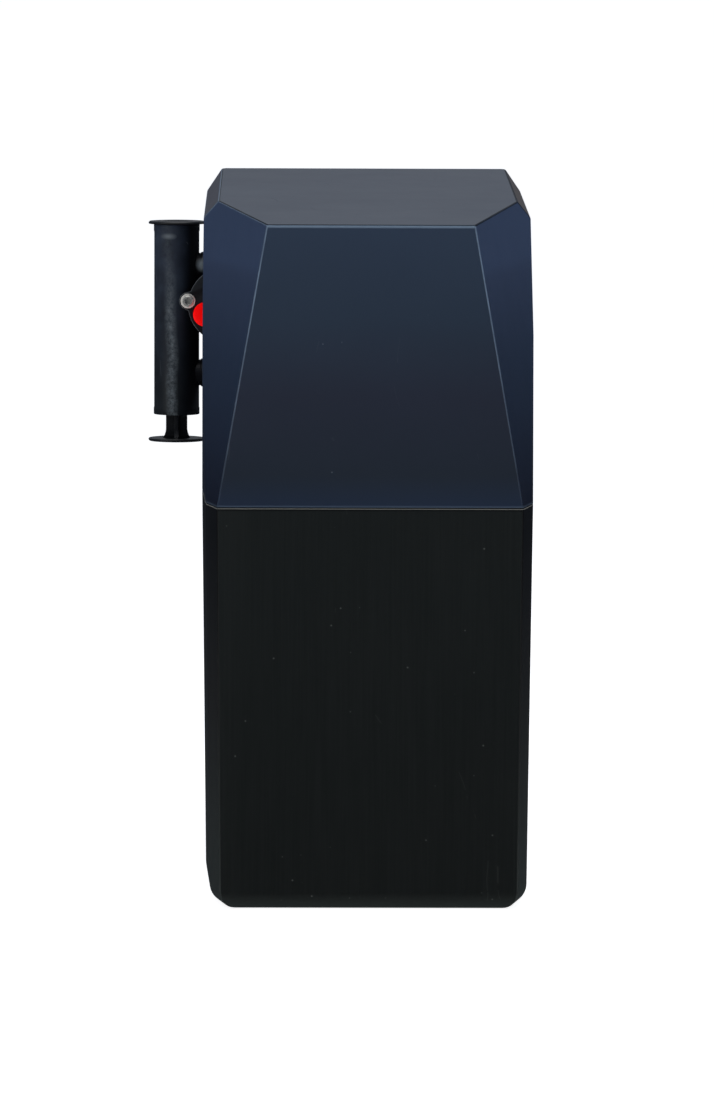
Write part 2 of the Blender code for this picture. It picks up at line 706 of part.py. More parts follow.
def make_brine_well(white, black):
    """The well tube and its cap, the float on its rod, and the brine valve at the bottom."""
    at = (WELL_X, WELL_Y, 0)
    inner = WELL_RADIUS - WELL_WALL
    well = tube("brine_well", WELL_RADIUS, inner, WELL_TOP - WELL_LOW, white, (WELL_X, WELL_Y, WELL_LOW))
    slots = []
    for z in (0.014, 0.026):
        slots.append(((WELL_X - 0.03, WELL_Y - 0.010, z), (WELL_X + 0.03, WELL_Y + 0.010, z + 0.004)))
    cut(well, many_boxes("well_slots", slots, white))
    make_well_cap(black, at, inner)
    base = [
        (0, 0.0042),
        (0.018, 0.0042),
        (0.018, 0.012),
        (inner - 0.0012, 0.014),
        (inner - 0.0012, 0.040),
        (0.006, 0.043),
        (0.0032, 0.043),
        (0.0032, 0.016),
        (0, 0.016),
    ]
    turned("brine_valve", base, black, at, segments=COARSE)
    stem, low = 0.0022, 0.018
    high = WELL_TOP - 0.006 - FLOAT_TRAVEL
    floats = [
        (0, low),
        (stem, low),
        (stem, 0.070),
        (0.011, 0.072),
        (0.0128, 0.076),
        (0.0128, 0.106),
        (0.011, 0.110),
        (stem, 0.112),
        (stem, high),
        (0, high),
    ]
    brine_float = turned("brine_float", floats, white, at, segments=COARSE)
    hang_on(brine_float, (WELL_X, WELL_Y, low))


def make_well_cap(black, at, inner):
    """The cap that sits in the top of the well, with holes for the float rod and the brine tube."""
    low = WELL_TOP + GAP
    rod_hole = 0.0040
    brim = WELL_RADIUS + 0.0015
    cap = [
        (rod_hole, low),
        (inner - 0.001, low - 0.0006),
        (inner - GAP, low - 0.004),
        (inner - GAP, low),
        (brim, low),
        (brim, low + 0.003),
        (WELL_RADIUS, low + 0.004),
        (rod_hole, low + 0.004),
    ]
    top = turned("brine_well_cap", cap, black, at)
    cut(top, rod("line_hole", LINE_RADIUS + 0.0008, 0.02, black, (LINE_X, WELL_Y, low - 0.01), segments=12))


def make_overflow(plastic):
    """The overflow fitting through the cabinet's rear wall, and its nut inside."""
    bore, shank, flange = 0.0045, 0.0085, 0.0130
    seat, end = 0.0183, 0.0440
    shoulder = [(bore, 0), (shank, 0), (shank, seat), (flange, seat), (flange, 0.0215), (0.0070, 0.0230)]
    barbs = [(0.0070, 0.0300), (0.0082, 0.0300), (0.0068, 0.0370), (0.0078, 0.0370)]
    mouth = [(0.0064, end), (bore, end)]
    start = (OVERFLOW_X, HALF_DEPTH - 0.018, OVERFLOW_Z)
    turned("overflow_fitting", shoulder + barbs + mouth, plastic, start, UP_TO_BACK, COARSE)
    nut_at = (OVERFLOW_X, HALF_DEPTH - 0.0112, OVERFLOW_Z)
    nut = rod("overflow_nut", 0.0140, 0.007, plastic, nut_at, UP_TO_BACK, 6)
    before = (OVERFLOW_X, HALF_DEPTH - 0.02, OVERFLOW_Z)
    cut(nut, rod("nut_bore", shank + GAP, 0.02, plastic, before, UP_TO_BACK, COARSE))


def make_manifold(plastic):
    """The block that joins the bypass to the valve's two stubs, and the clips on those stubs."""
    left, right = -0.1188, -0.006
    low, high = 0.336, 0.437
    body = block("manifold", (left, MANIFOLD_FRONT, low), (right, MANIFOLD_BACK, high), plastic, bevel=0.003)
    cut(body, block("manifold_relief", (-0.080, MANIFOLD_FRONT - 0.01, low - 0.01),
                    (0.01, MANIFOLD_BACK + 0.01, PORT_Z - 0.020), plastic))
    for x in (INLET_X, OUTLET_X):
        nose, neck, stop, end = 0.0092, 0.0120, 0.0183, 0.055
        plug = [(0, 0), (0.0068, 0), (nose, 0.003), (nose, stop), (neck, stop), (neck, end), (0, end)]
        join(body, turned("plug", plug, plastic, (x, PORT_END - 0.018, PORT_Z), UP_TO_BACK))
        cut(body, rod("plug_bore", 0.0060, 0.04, plastic, (x, PORT_END - 0.025, PORT_Z), UP_TO_BACK, COARSE))
    for x, z in bolt_places()[1:]:
        cut(body, rod("bolt_hole", 0.0033, 0.012, plastic, (x, MANIFOLD_FRONT - 0.002, z), UP_TO_BACK, 12))
    for z in (UPPER_PORT, LOWER_PORT):
        cut(body, rod("neck_socket", 0.0072, 0.03, plastic, (left - 0.005, BARREL_Y, z), UP_TO_RIGHT, COARSE))
    arc = math.radians(250)
    for name, x in (("clip_inlet", INLET_X), ("clip_outlet", OUTLET_X)):
        clip = ring_part(0.0133, 0.0158, 0.004, arc, plastic, name)
        clip.data.transform(Matrix.Translation((x, PORT_END - 0.010, PORT_Z)))
    return body


def ring_part(inner, outer, length, arc, finish, name):
    """A C-shaped clip round the Y axis, open below."""
    bm = bmesh.new()
    half = length / 2
    corners = [bm.verts.new((radius, y, 0)) for radius, y in
               ((inner, -half), (outer, -half), (outer, half), (inner, half))]
    face = bm.faces.new(corners)
    start = math.pi / 2 + arc / 2
    bmesh.ops.rotate(bm, verts=corners, cent=(0, 0, 0), matrix=Matrix.Rotation(-start, 3, "Y"))
    bmesh.ops.spin(bm, geom=[face], cent=(0, 0, 0), axis=(0, 1, 0), angle=arc, steps=COARSE)
    bmesh.ops.remove_doubles(bm, verts=bm.verts, dist=1e-6)
    return object_from(bm, name, finish, smooth=True)


def bolt_places():
    """(x, z) of the mixing cover's three bolts."""
    turns = [BOLT_TURN + math.tau * i / 3 for i in range(3)]
    return [(MIXING_X + BOLT_CIRCLE * math.cos(t), MIXING_Z + BOLT_CIRCLE * math.sin(t)) for t in turns]


def lugged_outline(lug=0.0068, count=72):
    """(x, z) outline of a disc with a round lug at every bolt."""
    points = []
    for i in range(count):
        angle = BOLT_TURN + math.tau * i / count
        reach = MIXING_RADIUS
        off = (angle - BOLT_TURN + math.pi / 3) % (math.tau / 3) - math.pi / 3
        across = BOLT_CIRCLE * math.sin(off)
        if abs(across) < lug:
            reach = max(reach, BOLT_CIRCLE * math.cos(off) + math.sqrt(lug * lug - across * across))
        points.append((MIXING_X + reach * math.cos(angle), MIXING_Z + reach * math.sin(angle)))
    return points


def make_mixing_valve(plastic, steel, red):
    """The round lugged cover of the mixing valve, its socket screws and the red mixing knob."""
    outline = lugged_outline()
    faces = [[(x, y, z) for x, z in outline] for y in (PLATE_FRONT, PLATE_BACK)]
    cover = loft("mixing_cover", faces, plastic)
    before = PLATE_FRONT - 0.005
    for x, z in bolt_places():
        cut(cover, rod("lug_hole", 0.0034, 0.02, plastic, (x, before, z), UP_TO_BACK, COARSE))
    stem = 0.0031
    cut(cover, rod("stem_hole", stem + GAP, 0.02, plastic, (KNOB_X, before, KNOB_Z), UP_TO_BACK, COARSE))
    shank, end = 0.0030, -0.0100
    head = [(0, end), (shank, end), (shank, GAP), (0.0056, GAP), (0.0056, 0.0011), (0.0050, 0.0012),
            (0.0050, 0.0036), (0.0044, 0.0042), (0.0028, 0.0042), (0.0026, 0.0018), (0, 0.0018)]
    for number, (x, z) in enumerate(bolt_places(), 1):
        turned(f"mixing_bolt_{number}", head, steel, (x, PLATE_FRONT, z), UP_TO_FRONT, segments=COARSE)
    tail, face = -0.0045, 0.0072
    knob = [(0, tail), (stem, tail), (stem, 0.0006), (KNOB_RADIUS, 0.0006), (KNOB_RADIUS, face - 0.0016),
            (KNOB_RADIUS - 0.0014, face), (0, face)]
    knob = turned("mixing_knob", knob, red, (KNOB_X, PLATE_FRONT, KNOB_Z), UP_TO_FRONT)
    hang_on(knob, (KNOB_X, PLATE_FRONT, KNOB_Z))


def make_barrel(plastic):
    """The bypass barrel: an open cylinder with two necks to the manifold and two ports at the back."""
    barrel = rod("bypass_barrel", BARREL_RADIUS, BARREL_TOP - BARREL_LOW, plastic,
                 (BARREL_X, BARREL_Y, BARREL_LOW), segments=FINE)
    for z in (UPPER_PORT, LOWER_PORT):
        end, tip = 0.0360, 0.0069
        neck = [(0, 0), (NECK_OUTER, 0), (NECK_OUTER, 0.0235), (tip, 0.0238), (tip, end), (0, end)]
        join(barrel, turned("neck", neck, plastic, (BARREL_X, BARREL_Y, z), UP_TO_RIGHT))
        end, rim = 0.0450, THREAD_RADIUS - 0.0010
        port = [(0, 0), (THREAD_RADIUS, 0), (THREAD_RADIUS, end - 0.0010), (rim, end), (0, end)]
        join(barrel, turned("port", port, plastic, (BARREL_X, BARREL_Y, z), UP_TO_BACK))
    x, z = bolt_places()[0]
    join(barrel, rod("bolt_boss", 0.0055, 0.012, plastic, (x, PLATE_BACK + GAP, z), UP_TO_BACK, COARSE))
    below = (BARREL_X, BARREL_Y, BARREL_LOW - 0.02)
    cut(barrel, rod("barrel_bore", BARREL_BORE, 0.2, plastic, below, segments=FINE))
    cut(barrel, rod("bolt_hole", 0.0033, 0.010, plastic, (x, PLATE_BACK - 0.002, z), UP_TO_BACK, 12))
    for z in (UPPER_PORT, LOWER_PORT):
        cut(barrel, rod("neck_bore", 0.0050, 0.06, plastic, (BARREL_X, BARREL_Y, z), UP_TO_RIGHT, COARSE))
        cut(barrel, rod("port_bore", 0.0055, 0.06, plastic, (BARREL_X, BARREL_Y, z), UP_TO_BACK, COARSE))
    return barrel


def make_spool(plastic, rubber):
    """The push-pull spool with its upper disc and four seal rings, and the ribbed lower stem."""
    pivot = (BARREL_X, BARREL_Y, BARREL_TOP)
    land, core = BARREL_BORE - 0.0004, 0.0050
    disc_low = BARREL_TOP + GAP
    lands = (0.438, 0.410, 0.364, 0.330)
    groove, groove_half, land_half = 0.0100, 0.0013, 0.0040
    profile = [(0, disc_low + DISC_THICK), (DISC_RADIUS - 0.0008, disc_low + DISC_THICK),
               (DISC_RADIUS, disc_low + DISC_THICK - 0.0008), (DISC_RADIUS, disc_low), (core, disc_low)]
    half_land = [(core, land_half), (land, land_half), (land, groove_half), (groove, groove_half)]
    for z in lands:
        profile += [(radius, z + height) for radius, height in half_land]
        profile += [(radius, z - height) for radius, height in reversed(half_land)]
    stem_top = 0.3170
    profile += [(core, stem_top + GAP), (0, stem_top + GAP)]
    spool = turned("bypass_spool", profile, plastic, (BARREL_X, BARREL_Y, 0), segments=20)
    hang_on(spool, pivot)
    ring_radius, ring_centre = 0.0009, 0.01125
    for number, z in enumerate(lands, 1):
        section = [(ring_centre + ring_radius * math.cos(a), z + ring_radius * math.sin(a))
                   for a in (math.tau * i / 6 for i in range(6))]
        ring = turned(f"spool_ring_{number}", section, rubber, (BARREL_X, BARREL_Y, 0), segments=14)
        hang_on(ring, pivot)
    disc_top = BARREL_LOW - SPOOL_TRAVEL - GAP
    foot = [(0, disc_top - DISC_THICK), (DISC_RADIUS - 0.0008, disc_top - DISC_THICK),
            (DISC_RADIUS, disc_top - DISC_THICK + 0.0008), (DISC_RADIUS, disc_top), (0, disc_top)]
    end = turned("spool_end_disc", foot, plastic, (BARREL_X, BARREL_Y, 0), segments=FINE)
    half, rib = 0.0086, 0.0016
    for dx, dy in ((half, rib), (rib, half)):
        join(end, block("rib", (BARREL_X - dx, BARREL_Y - dy, disc_top - 0.001),
                        (BARREL_X + dx, BARREL_Y + dy, stem_top), plastic))
    hang_on(end, pivot)


def main():
    for obj in list(bpy.data.objects):
        bpy.data.objects.remove(obj)
    navy = make_finish("navy_plastic", (0.020, 0.030, 0.060), 0.35)
    black = make_finish("black_plastic", (0.010, 0.011, 0.011), 0.50)
    moulded = make_finish("moulded_black", (0.012, 0.013, 0.016), 0.45)
    shell = make_finish("tank_shell", (0.08, 0.16, 0.28), 0.45)
    white = make_finish("white_plastic", (0.72, 0.72, 0.70), 0.45)
    acetal = make_finish("acetal", (0.80, 0.79, 0.74), 0.40)
    ceramic = make_finish("ceramic", (0.85, 0.83, 0.78), 0.25)
    beads = make_finish("resin_beads", (0.40, 0.16, 0.04), 0.60)
    rubber = make_finish("seal_rubber", (0.015, 0.015, 0.015), 0.75)
    steel = make_finish("stainless_steel", (0.62, 0.61, 0.58), 0.25, 1.0)
    red = make_finish("red_plastic", (0.85, 0.005, 0.005), 0.40)
    make_cabinet(black)
    make_hood(navy)
    make_salt_grid(white)
    for side in (-1, 1):
        make_tank(side, shell)
        make_tank_insides(side, white, rubber, beads)
    make_valve_body(moulded)
    make_turbine(acetal)
    make_lay_gear(acetal)
    make_control_gear(acetal, ceramic)
    make_gear_cover(moulded, steel, acetal)
    make_advance_knob(moulded)
    make_small_fittings(moulded)
    make_brine_well(white, moulded)
    make_brine_line(white)
    make_overflow(moulded)
    make_manifold(moulded)
    make_mixing_valve(moulded, steel, red)
    make_barrel(moulded)
    make_spool(moulded, rubber)


main()
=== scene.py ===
# %% [markdown]
# # A cabinet water softener
# The object is a narrow salt cabinet with a faceted, lift-off hood. Two resin tanks and their valve stand inside it,
# and a push-pull bypass stands behind its left edge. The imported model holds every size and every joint, so this
# script only makes the surfaces: it rebuilds the shells and the bypass with rounded edges, gives every other piece
# softened edges, and paints them all with procedural materials.

# %% Load the model
import json
import math

import bmesh
import bpy
from mathutils import Matrix, Vector

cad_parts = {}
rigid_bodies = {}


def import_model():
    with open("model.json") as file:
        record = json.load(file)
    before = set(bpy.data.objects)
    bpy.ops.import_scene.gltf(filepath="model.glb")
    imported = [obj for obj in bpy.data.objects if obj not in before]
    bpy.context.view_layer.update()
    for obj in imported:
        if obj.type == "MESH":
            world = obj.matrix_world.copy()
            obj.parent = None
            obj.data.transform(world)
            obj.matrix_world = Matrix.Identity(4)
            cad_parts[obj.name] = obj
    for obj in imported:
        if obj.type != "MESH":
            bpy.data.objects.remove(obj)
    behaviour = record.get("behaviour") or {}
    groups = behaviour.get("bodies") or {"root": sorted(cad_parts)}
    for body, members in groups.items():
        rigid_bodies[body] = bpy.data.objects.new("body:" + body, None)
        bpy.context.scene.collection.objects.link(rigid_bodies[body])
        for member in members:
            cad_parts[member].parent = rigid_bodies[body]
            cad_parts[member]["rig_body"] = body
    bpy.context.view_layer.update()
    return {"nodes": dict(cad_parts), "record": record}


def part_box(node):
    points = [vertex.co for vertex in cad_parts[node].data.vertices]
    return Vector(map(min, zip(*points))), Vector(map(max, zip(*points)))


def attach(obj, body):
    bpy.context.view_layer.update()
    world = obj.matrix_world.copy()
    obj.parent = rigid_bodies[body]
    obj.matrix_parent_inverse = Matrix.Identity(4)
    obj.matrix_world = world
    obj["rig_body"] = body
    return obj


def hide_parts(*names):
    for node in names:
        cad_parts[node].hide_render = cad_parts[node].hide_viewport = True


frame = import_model()

# %% [markdown]
# ## Camera
# A long lens from about four and a half metres keeps the upright edges nearly parallel. The camera stands a little
# higher than the hood and looks down on it, so the sloping top shows as a narrow band.

# %% Camera
cabinet_low, cabinet_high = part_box("cabinet_base")
hood_low, hood_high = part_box("hood")
FRONT = cabinet_low.y
FRONT_TOP = hood_low.z + 0.197
CAMERA_DISTANCE = 4.453
CAMERA_SIDE = -0.061
CAMERA_HEIGHT = 0.680
LOOK_DOWN = math.radians(5.46)
TURN = math.radians(-0.648)
TILT = math.radians(-0.20)
LENS_MM = 210.0

camera_data = bpy.data.cameras.new("studio_camera")
camera_data.lens = LENS_MM
camera_data.sensor_width = 36.0
camera_data.clip_end = 500.0
camera = bpy.data.objects.new("studio_camera", camera_data)
bpy.context.scene.collection.objects.link(camera)
camera.location = (CAMERA_SIDE, FRONT - CAMERA_DISTANCE, CAMERA_HEIGHT)
camera.rotation_euler = (math.pi / 2 - LOOK_DOWN, TILT, TURN)
bpy.context.scene.camera = camera
bpy.context.scene.view_settings.view_transform = "Standard"

# %% [markdown]
# ## Floor and light
# Dark satin plastic shows its surroundings more than its own colour. The floor is pale but is left out of the
# reflections, and the surroundings that the gloss sees are dim, so the panels stay deep. The soft boxes catch the
# rounded edges, and the thin bright lines along them are painted into the finishes as well.

# %% Studio
FLOOR_SIZE = 400.0
PALE = (0.86, 0.86, 0.86, 1.0)
HORIZON_TOP = 0.02
OVERHEAD_START = 0.20
NEAR_HORIZON = (0.020, 0.024, 0.032, 1.0)
OVERHEAD = (0.125, 0.145, 0.180, 1.0)


def make_floor():
    """A wide pale floor that takes the shadow."""
    bm = bmesh.new()
    bmesh.ops.create_grid(bm, x_segments=1, y_segments=1, size=FLOOR_SIZE / 2)
    mesh = bpy.data.meshes.new("studio_floor")
    bm.to_mesh(mesh)
    bm.free()
    finish = bpy.data.materials.new("pale_floor")
    finish.use_nodes = True
    shader = finish.node_tree.nodes["Principled BSDF"]
    shader.inputs["Base Color"].default_value = PALE
    shader.inputs["Roughness"].default_value = 0.9
    shader.inputs["Specular IOR Level"].default_value = 0.1
    shader.inputs["Emission Color"].default_value = (1.0, 1.0, 1.0, 1.0)
    shader.inputs["Emission Strength"].default_value = 0.90
    mesh.materials.append(finish)
    floor = bpy.data.objects.new("studio_floor", mesh)
    bpy.context.scene.collection.objects.link(floor)
    floor.visible_glossy = False


def make_surroundings():
    """A world that is dim for the light it gives and white where it is looked at."""
    world = bpy.data.worlds.new("studio_world")
    world.use_nodes = True
    bpy.context.scene.world = world
    tree = world.node_tree
    place = tree.nodes.new("ShaderNodeTexCoord")
    parts = tree.nodes.new("ShaderNodeSeparateXYZ")
    tree.links.new(place.outputs["Generated"], parts.inputs["Vector"])
    rise = tree.nodes.new("ShaderNodeMapRange")
    rise.inputs["From Min"].default_value = HORIZON_TOP
    rise.inputs["From Max"].default_value = OVERHEAD_START
    tree.links.new(parts.outputs["Z"], rise.inputs["Value"])
    tint = tree.nodes.new("ShaderNodeMix")
    tint.data_type = "RGBA"
    tint.inputs[6].default_value = NEAR_HORIZON
    tint.inputs[7].default_value = OVERHEAD
    tree.links.new(rise.outputs["Result"], tint.inputs[0])
    dim = tree.nodes["Background"]
    tree.links.new(tint.outputs[2], dim.inputs["Color"])
    white = tree.nodes.new("ShaderNodeBackground")
    white.inputs["Color"].default_value = (1.0, 1.0, 1.0, 1.0)
    rays = tree.nodes.new("ShaderNodeLightPath")
    choice = tree.nodes.new("ShaderNodeMixShader")
    tree.links.new(rays.outputs["Is Camera Ray"], choice.inputs["Fac"])
    tree.links.new(dim.outputs["Background"], choice.inputs[1])
    tree.links.new(white.outputs["Background"], choice.inputs[2])
    tree.links.new(choice.outputs["Shader"], tree.nodes["World Output"].inputs["Surface"])


def soft_box(name, place, target, size, power):
    """A square area light turned towards a point, and hidden from the camera."""
    data = bpy.data.lights.new(name, "AREA")
    data.shape = "RECTANGLE"
    data.size, data.size_y = size
    data.energy = power
    lamp = bpy.data.objects.new(name, data)
    bpy.context.scene.collection.objects.link(lamp)
    lamp.location = place
    lamp.rotation_euler = (Vector(place) - Vector(target)).to_track_quat("Z", "Y").to_euler()
    lamp.visible_camera = False
    return lamp


MIDDLE = Vector((0.0, 0.0, hood_high.z / 2))
make_floor()
make_surroundings()
soft_box("overhead_box", (0.0, -0.4, 2.6), MIDDLE, (2.4, 2.4), 30.0)
soft_box("left_box", (-2.6, -1.6, 1.5), MIDDLE, (1.2, 1.8), 9.0)
soft_box("right_box", (2.6, -1.6, 1.5), MIDDLE, (1.2, 1.8), 6.0)
soft_box("rear_box", (0.0, 3.0, 1.6), MIDDLE, (2.6, 1.0), 3.0)

# %% [markdown]
# ## Small tools for node trees
# Every material below is built from a few nodes. These helpers make a node, set its sockets and join it up in one
# line each, which keeps the recipes short enough to read.

# %% Node helpers


def put(tree, kind, settings=None, inputs=None):
    """Adds a node, with its settings and the values of its sockets."""
    made = tree.nodes.new(kind)
    for key, value in (settings or {}).items():
        setattr(made, key, value)
    for key, value in (inputs or {}).items():
        if isinstance(value, bpy.types.NodeSocket):
            tree.links.new(value, made.inputs[key])
        else:
            made.inputs[key].default_value = value
    return made


def maths(tree, operation, first, second=0.0):
    """One Math node; each value is a number or another node's socket."""
    return put(tree, "ShaderNodeMath", {"operation": operation}, {0: first, 1: second}).outputs[0]


def remap(tree, value, low, high, out_low=0.0, out_high=1.0):
    """Stretches low..high to out_low..out_high, and holds it there."""
    sockets = {"Value": value, "From Min": low, "From Max": high, "To Min": out_low, "To Max": out_high}
    return put(tree, "ShaderNodeMapRange", {"clamp": True}, sockets).outputs["Result"]


def mix_colour(tree, factor, first, second):
    """Mixes two colours by a factor."""
    sockets = {0: factor, 6: first, 7: second}
    return put(tree, "ShaderNodeMix", {"data_type": "RGBA"}, sockets).outputs[2]


def stretched(tree, vector, scale):
    """The same coordinates, scaled by a different amount along each axis."""
    return put(tree, "ShaderNodeMapping", {"vector_type": "TEXTURE"}, {"Vector": vector, "Scale": scale}).outputs[0]


def height_tones(tree, place, low, high, stops):
    """Colours that follow the height: each stop is a fraction of the way up and a colour."""
    height = put(tree, "ShaderNodeSeparateXYZ", None, {"Vector": place}).outputs["Z"]
    ramp = put(tree, "ShaderNodeValToRGB", None, {"Fac": remap(tree, height, low, high)})
    stripe = ramp.color_ramp
    while len(stripe.elements) < len(stops):
        stripe.elements.new(1.0)
    for element, (position, colour) in zip(stripe.elements, stops):
        element.position = position
        element.color = (*colour, 1.0)
    return ramp.outputs["Color"]


def attribute(tree, name):
    """A mark that a piece's own faces carry."""
    return put(tree, "ShaderNodeAttribute", {"attribute_name": name}).outputs["Fac"]


def noise(tree, vector, scale, detail=3.0, roughness=0.5):
    sockets = {"Vector": vector, "Scale": scale, "Detail": detail, "Roughness": roughness}
    return put(tree, "ShaderNodeTexNoise", None, sockets).outputs["Fac"]


def new_group(name, inputs, outputs):
    """An empty node group with named sockets; each input is (name, socket type, default)."""
    group = bpy.data.node_groups.new(name, "ShaderNodeTree")
    for label, kind, default in inputs:
        socket = group.interface.new_socket(label, in_out="INPUT", socket_type=kind)
        if default is not None:
            socket.default_value = default
    for label in outputs:
        group.interface.new_socket(label, in_out="OUTPUT", socket_type="NodeSocketFloat")
    source = group.nodes.new("NodeGroupInput")
    target = group.nodes.new("NodeGroupOutput")
    return group, source.outputs, target.inputs


def use_group(tree, group, **values):
    """Places a group in a material, with its own values."""
    made = put(tree, "ShaderNodeGroup", {"node_tree": group})
    for key, value in values.items():
        label = key.replace("_", " ").capitalize()
        if isinstance(value, bpy.types.NodeSocket):
            tree.links.new(value, made.inputs[label])
        else:
            made.inputs[label].default_value = value
    return made.outputs


VECTOR = ("Vector", "NodeSocketVector", None)


def number(label, default):
    return (label, "NodeSocketFloat", default)


# %% [markdown]
# ## Shared effects
# Moulded plastic is never quite smooth: it keeps the grain of its mould, gathers dust, and picks up hairlines and
# pale scuffs where hands and boxes rub it. Each effect is one node group, so that every plastic here can use it with
# its own scale and amount.

# %% Mould grain


def make_grain():
    """A shallow relief: fine grain on a slower waviness."""
    group, source, target = new_group(
        "Mould grain", [VECTOR, number("Scale", 900.0), number("Wave", 0.3)], ["Height"])
    fine = noise(group, source["Vector"], source["Scale"], 2.0, 0.6)
    slow_scale = maths(group, "MULTIPLY", source["Scale"], 0.02)
    slow = noise(group, source["Vector"], slow_scale, 2.0, 0.5)
    waves = maths(group, "MULTIPLY", slow, source["Wave"])
    group.links.new(maths(group, "ADD", fine, waves), target["Height"])
    return group


grain_group = make_grain()

# %% Dust specks


def make_dust():
    """Small bright specks: some of the cells of a Voronoi pattern, each shrunk to a dot."""
    group, source, target = new_group("Dust specks", [VECTOR, number("Scale", 120.0), number("Amount", 0.1)], ["Mask"])
    cells = put(group, "ShaderNodeTexVoronoi", None, {"Vector": source["Vector"], "Scale": source["Scale"]})
    dots = remap(group, cells.outputs["Distance"], 0.05, 0.12, 1.0, 0.0)
    chance = put(group, "ShaderNodeSeparateColor", None, {"Color": cells.outputs["Color"]}).outputs["Red"]
    limit = maths(group, "SUBTRACT", 1.0, source["Amount"])
    kept = maths(group, "GREATER_THAN", chance, limit)
    group.links.new(maths(group, "MULTIPLY", dots, kept), target["Mask"])
    return group


dust_group = make_dust()

# %% Hairline scratches


def make_hairlines():
    """Thin lines: the edges of stretched, bent Voronoi cells, kept only in patches."""
    group, source, target = new_group("Hairlines", [VECTOR, number("Scale", 30.0), number("Amount", 0.3)], ["Mask"])
    bend = put(group, "ShaderNodeTexNoise", None, {"Vector": source["Vector"], "Scale": 9.0, "Detail": 2.0})
    shift = put(group, "ShaderNodeVectorMath", {"operation": "SCALE"},
                {0: bend.outputs["Color"], "Scale": 0.05}).outputs[0]
    bent = put(group, "ShaderNodeVectorMath", {"operation": "ADD"}, {0: source["Vector"], 1: shift}).outputs[0]
    long = stretched(group, bent, (1.0, 1.0, 3.0))
    cells = put(group, "ShaderNodeTexVoronoi", {"feature": "DISTANCE_TO_EDGE"},
                {"Vector": long, "Scale": source["Scale"]})
    lines = remap(group, cells.outputs["Distance"], 0.002, 0.008, 1.0, 0.0)
    patch = noise(group, source["Vector"], 24.0, 3.0, 0.6)
    edge = maths(group, "SUBTRACT", 1.0, source["Amount"])
    kept = maths(group, "GREATER_THAN", patch, edge)
    group.links.new(maths(group, "MULTIPLY", lines, kept), target["Mask"])
    return group


hairline_group = make_hairlines()

# %% Pale scuffs


def make_scuffs():
    """Cloudy patches where rubbing has dulled and whitened the surface."""
    group, source, target = new_group("Scuffs", [VECTOR, number("Scale", 40.0), number("Spread", 0.5)], ["Mask"])
    clouds = noise(group, source["Vector"], source["Scale"], 6.0, 0.68)
    breaks = noise(group, source["Vector"], maths(group, "MULTIPLY", source["Scale"], 7.0), 3.0, 0.6)
    rough = maths(group, "ADD", maths(group, "MULTIPLY", clouds, 0.75), maths(group, "MULTIPLY", breaks, 0.25))
    low = maths(group, "SUBTRACT", 0.72, maths(group, "MULTIPLY", source["Spread"], 0.3))
    high = maths(group, "ADD", low, 0.16)
    group.links.new(remap(group, rough, low, high), target["Mask"])
    return group


scuff_group = make_scuffs()

# %% [markdown]
# ## Finishes
# One function makes the common moulded plastic, and takes the colour, the gloss and how much each effect shows. The
# shells, the steel, the beads and the wound tanks have recipes of their own after it.

# %% Moulded plastic


def start_material(name, colour, roughness, metallic=0.0, specular=0.5):
    """A material with plain values on its shader, and the object's own coordinates."""
    finish = bpy.data.materials.new(name)
    finish.use_nodes = True
    tree = finish.node_tree
    shader = tree.nodes["Principled BSDF"]
    shader.inputs["Base Color"].default_value = (*colour, 1.0)
    shader.inputs["Roughness"].default_value = roughness
    shader.inputs["Metallic"].default_value = metallic
    shader.inputs["Specular IOR Level"].default_value = specular
    place = put(tree, "ShaderNodeTexCoord").outputs["Object"]
    return finish, tree, shader, place


def relief(tree, shader, height, strength, distance=0.0002):
    """Bends the shader's normal by a height."""
    bump = put(tree, "ShaderNodeBump", None, {"Height": height, "Strength": strength, "Distance": distance})
    tree.links.new(bump.outputs["Normal"], shader.inputs["Normal"])


def moulded_plastic(name, colour, roughness, pale=(0.10, 0.11, 0.12), scuffs=0.3, grain=0.25, dust=0.05,
                    specular=0.5):
    """Injection-moulded plastic: grain, uneven gloss, pale scuffs, dust, and a painted highlight on marked edges."""
    finish, tree, shader, place = start_material(name, colour, roughness, specular=specular)
    height = use_group(tree, grain_group, vector=place, scale=1400.0, wave=0.6)["Height"]
    relief(tree, shader, height, grain)
    wear_and_edge_sheen = use_group(tree, scuff_group, vector=place, scale=45.0, spread=scuffs)["Mask"]
    specks = use_group(tree, dust_group, vector=place, scale=260.0, amount=dust)["Mask"]
    tone = noise(tree, place, 22.0, 4.0, 0.6)
    deep = tuple(channel * 0.72 for channel in colour)
    base = mix_colour(tree, tone, (*deep, 1.0), (*colour, 1.0))
    highlighted = mix_colour(tree, maths(tree, "MULTIPLY", wear_and_edge_sheen, 0.5), base, (*pale, 1.0))
    # Marked edges get a painted highlight in the pale colour.
    highlighted = mix_colour(tree, maths(tree, "MULTIPLY", attribute(tree, "painted_edge_highlight"), 0.7), highlighted, (*pale, 1.0))
    dusty = mix_colour(tree, maths(tree, "MULTIPLY", specks, 0.6), highlighted, (0.42, 0.42, 0.40, 1.0))
    tree.links.new(dusty, shader.inputs["Base Color"])
    gloss = maths(tree, "ADD", roughness - 0.06, maths(tree, "MULTIPLY", wear_and_edge_sheen, 0.16))
    tree.links.new(maths(tree, "ADD", gloss, maths(tree, "MULTIPLY", tone, 0.12)), shader.inputs["Roughness"])
    return finish


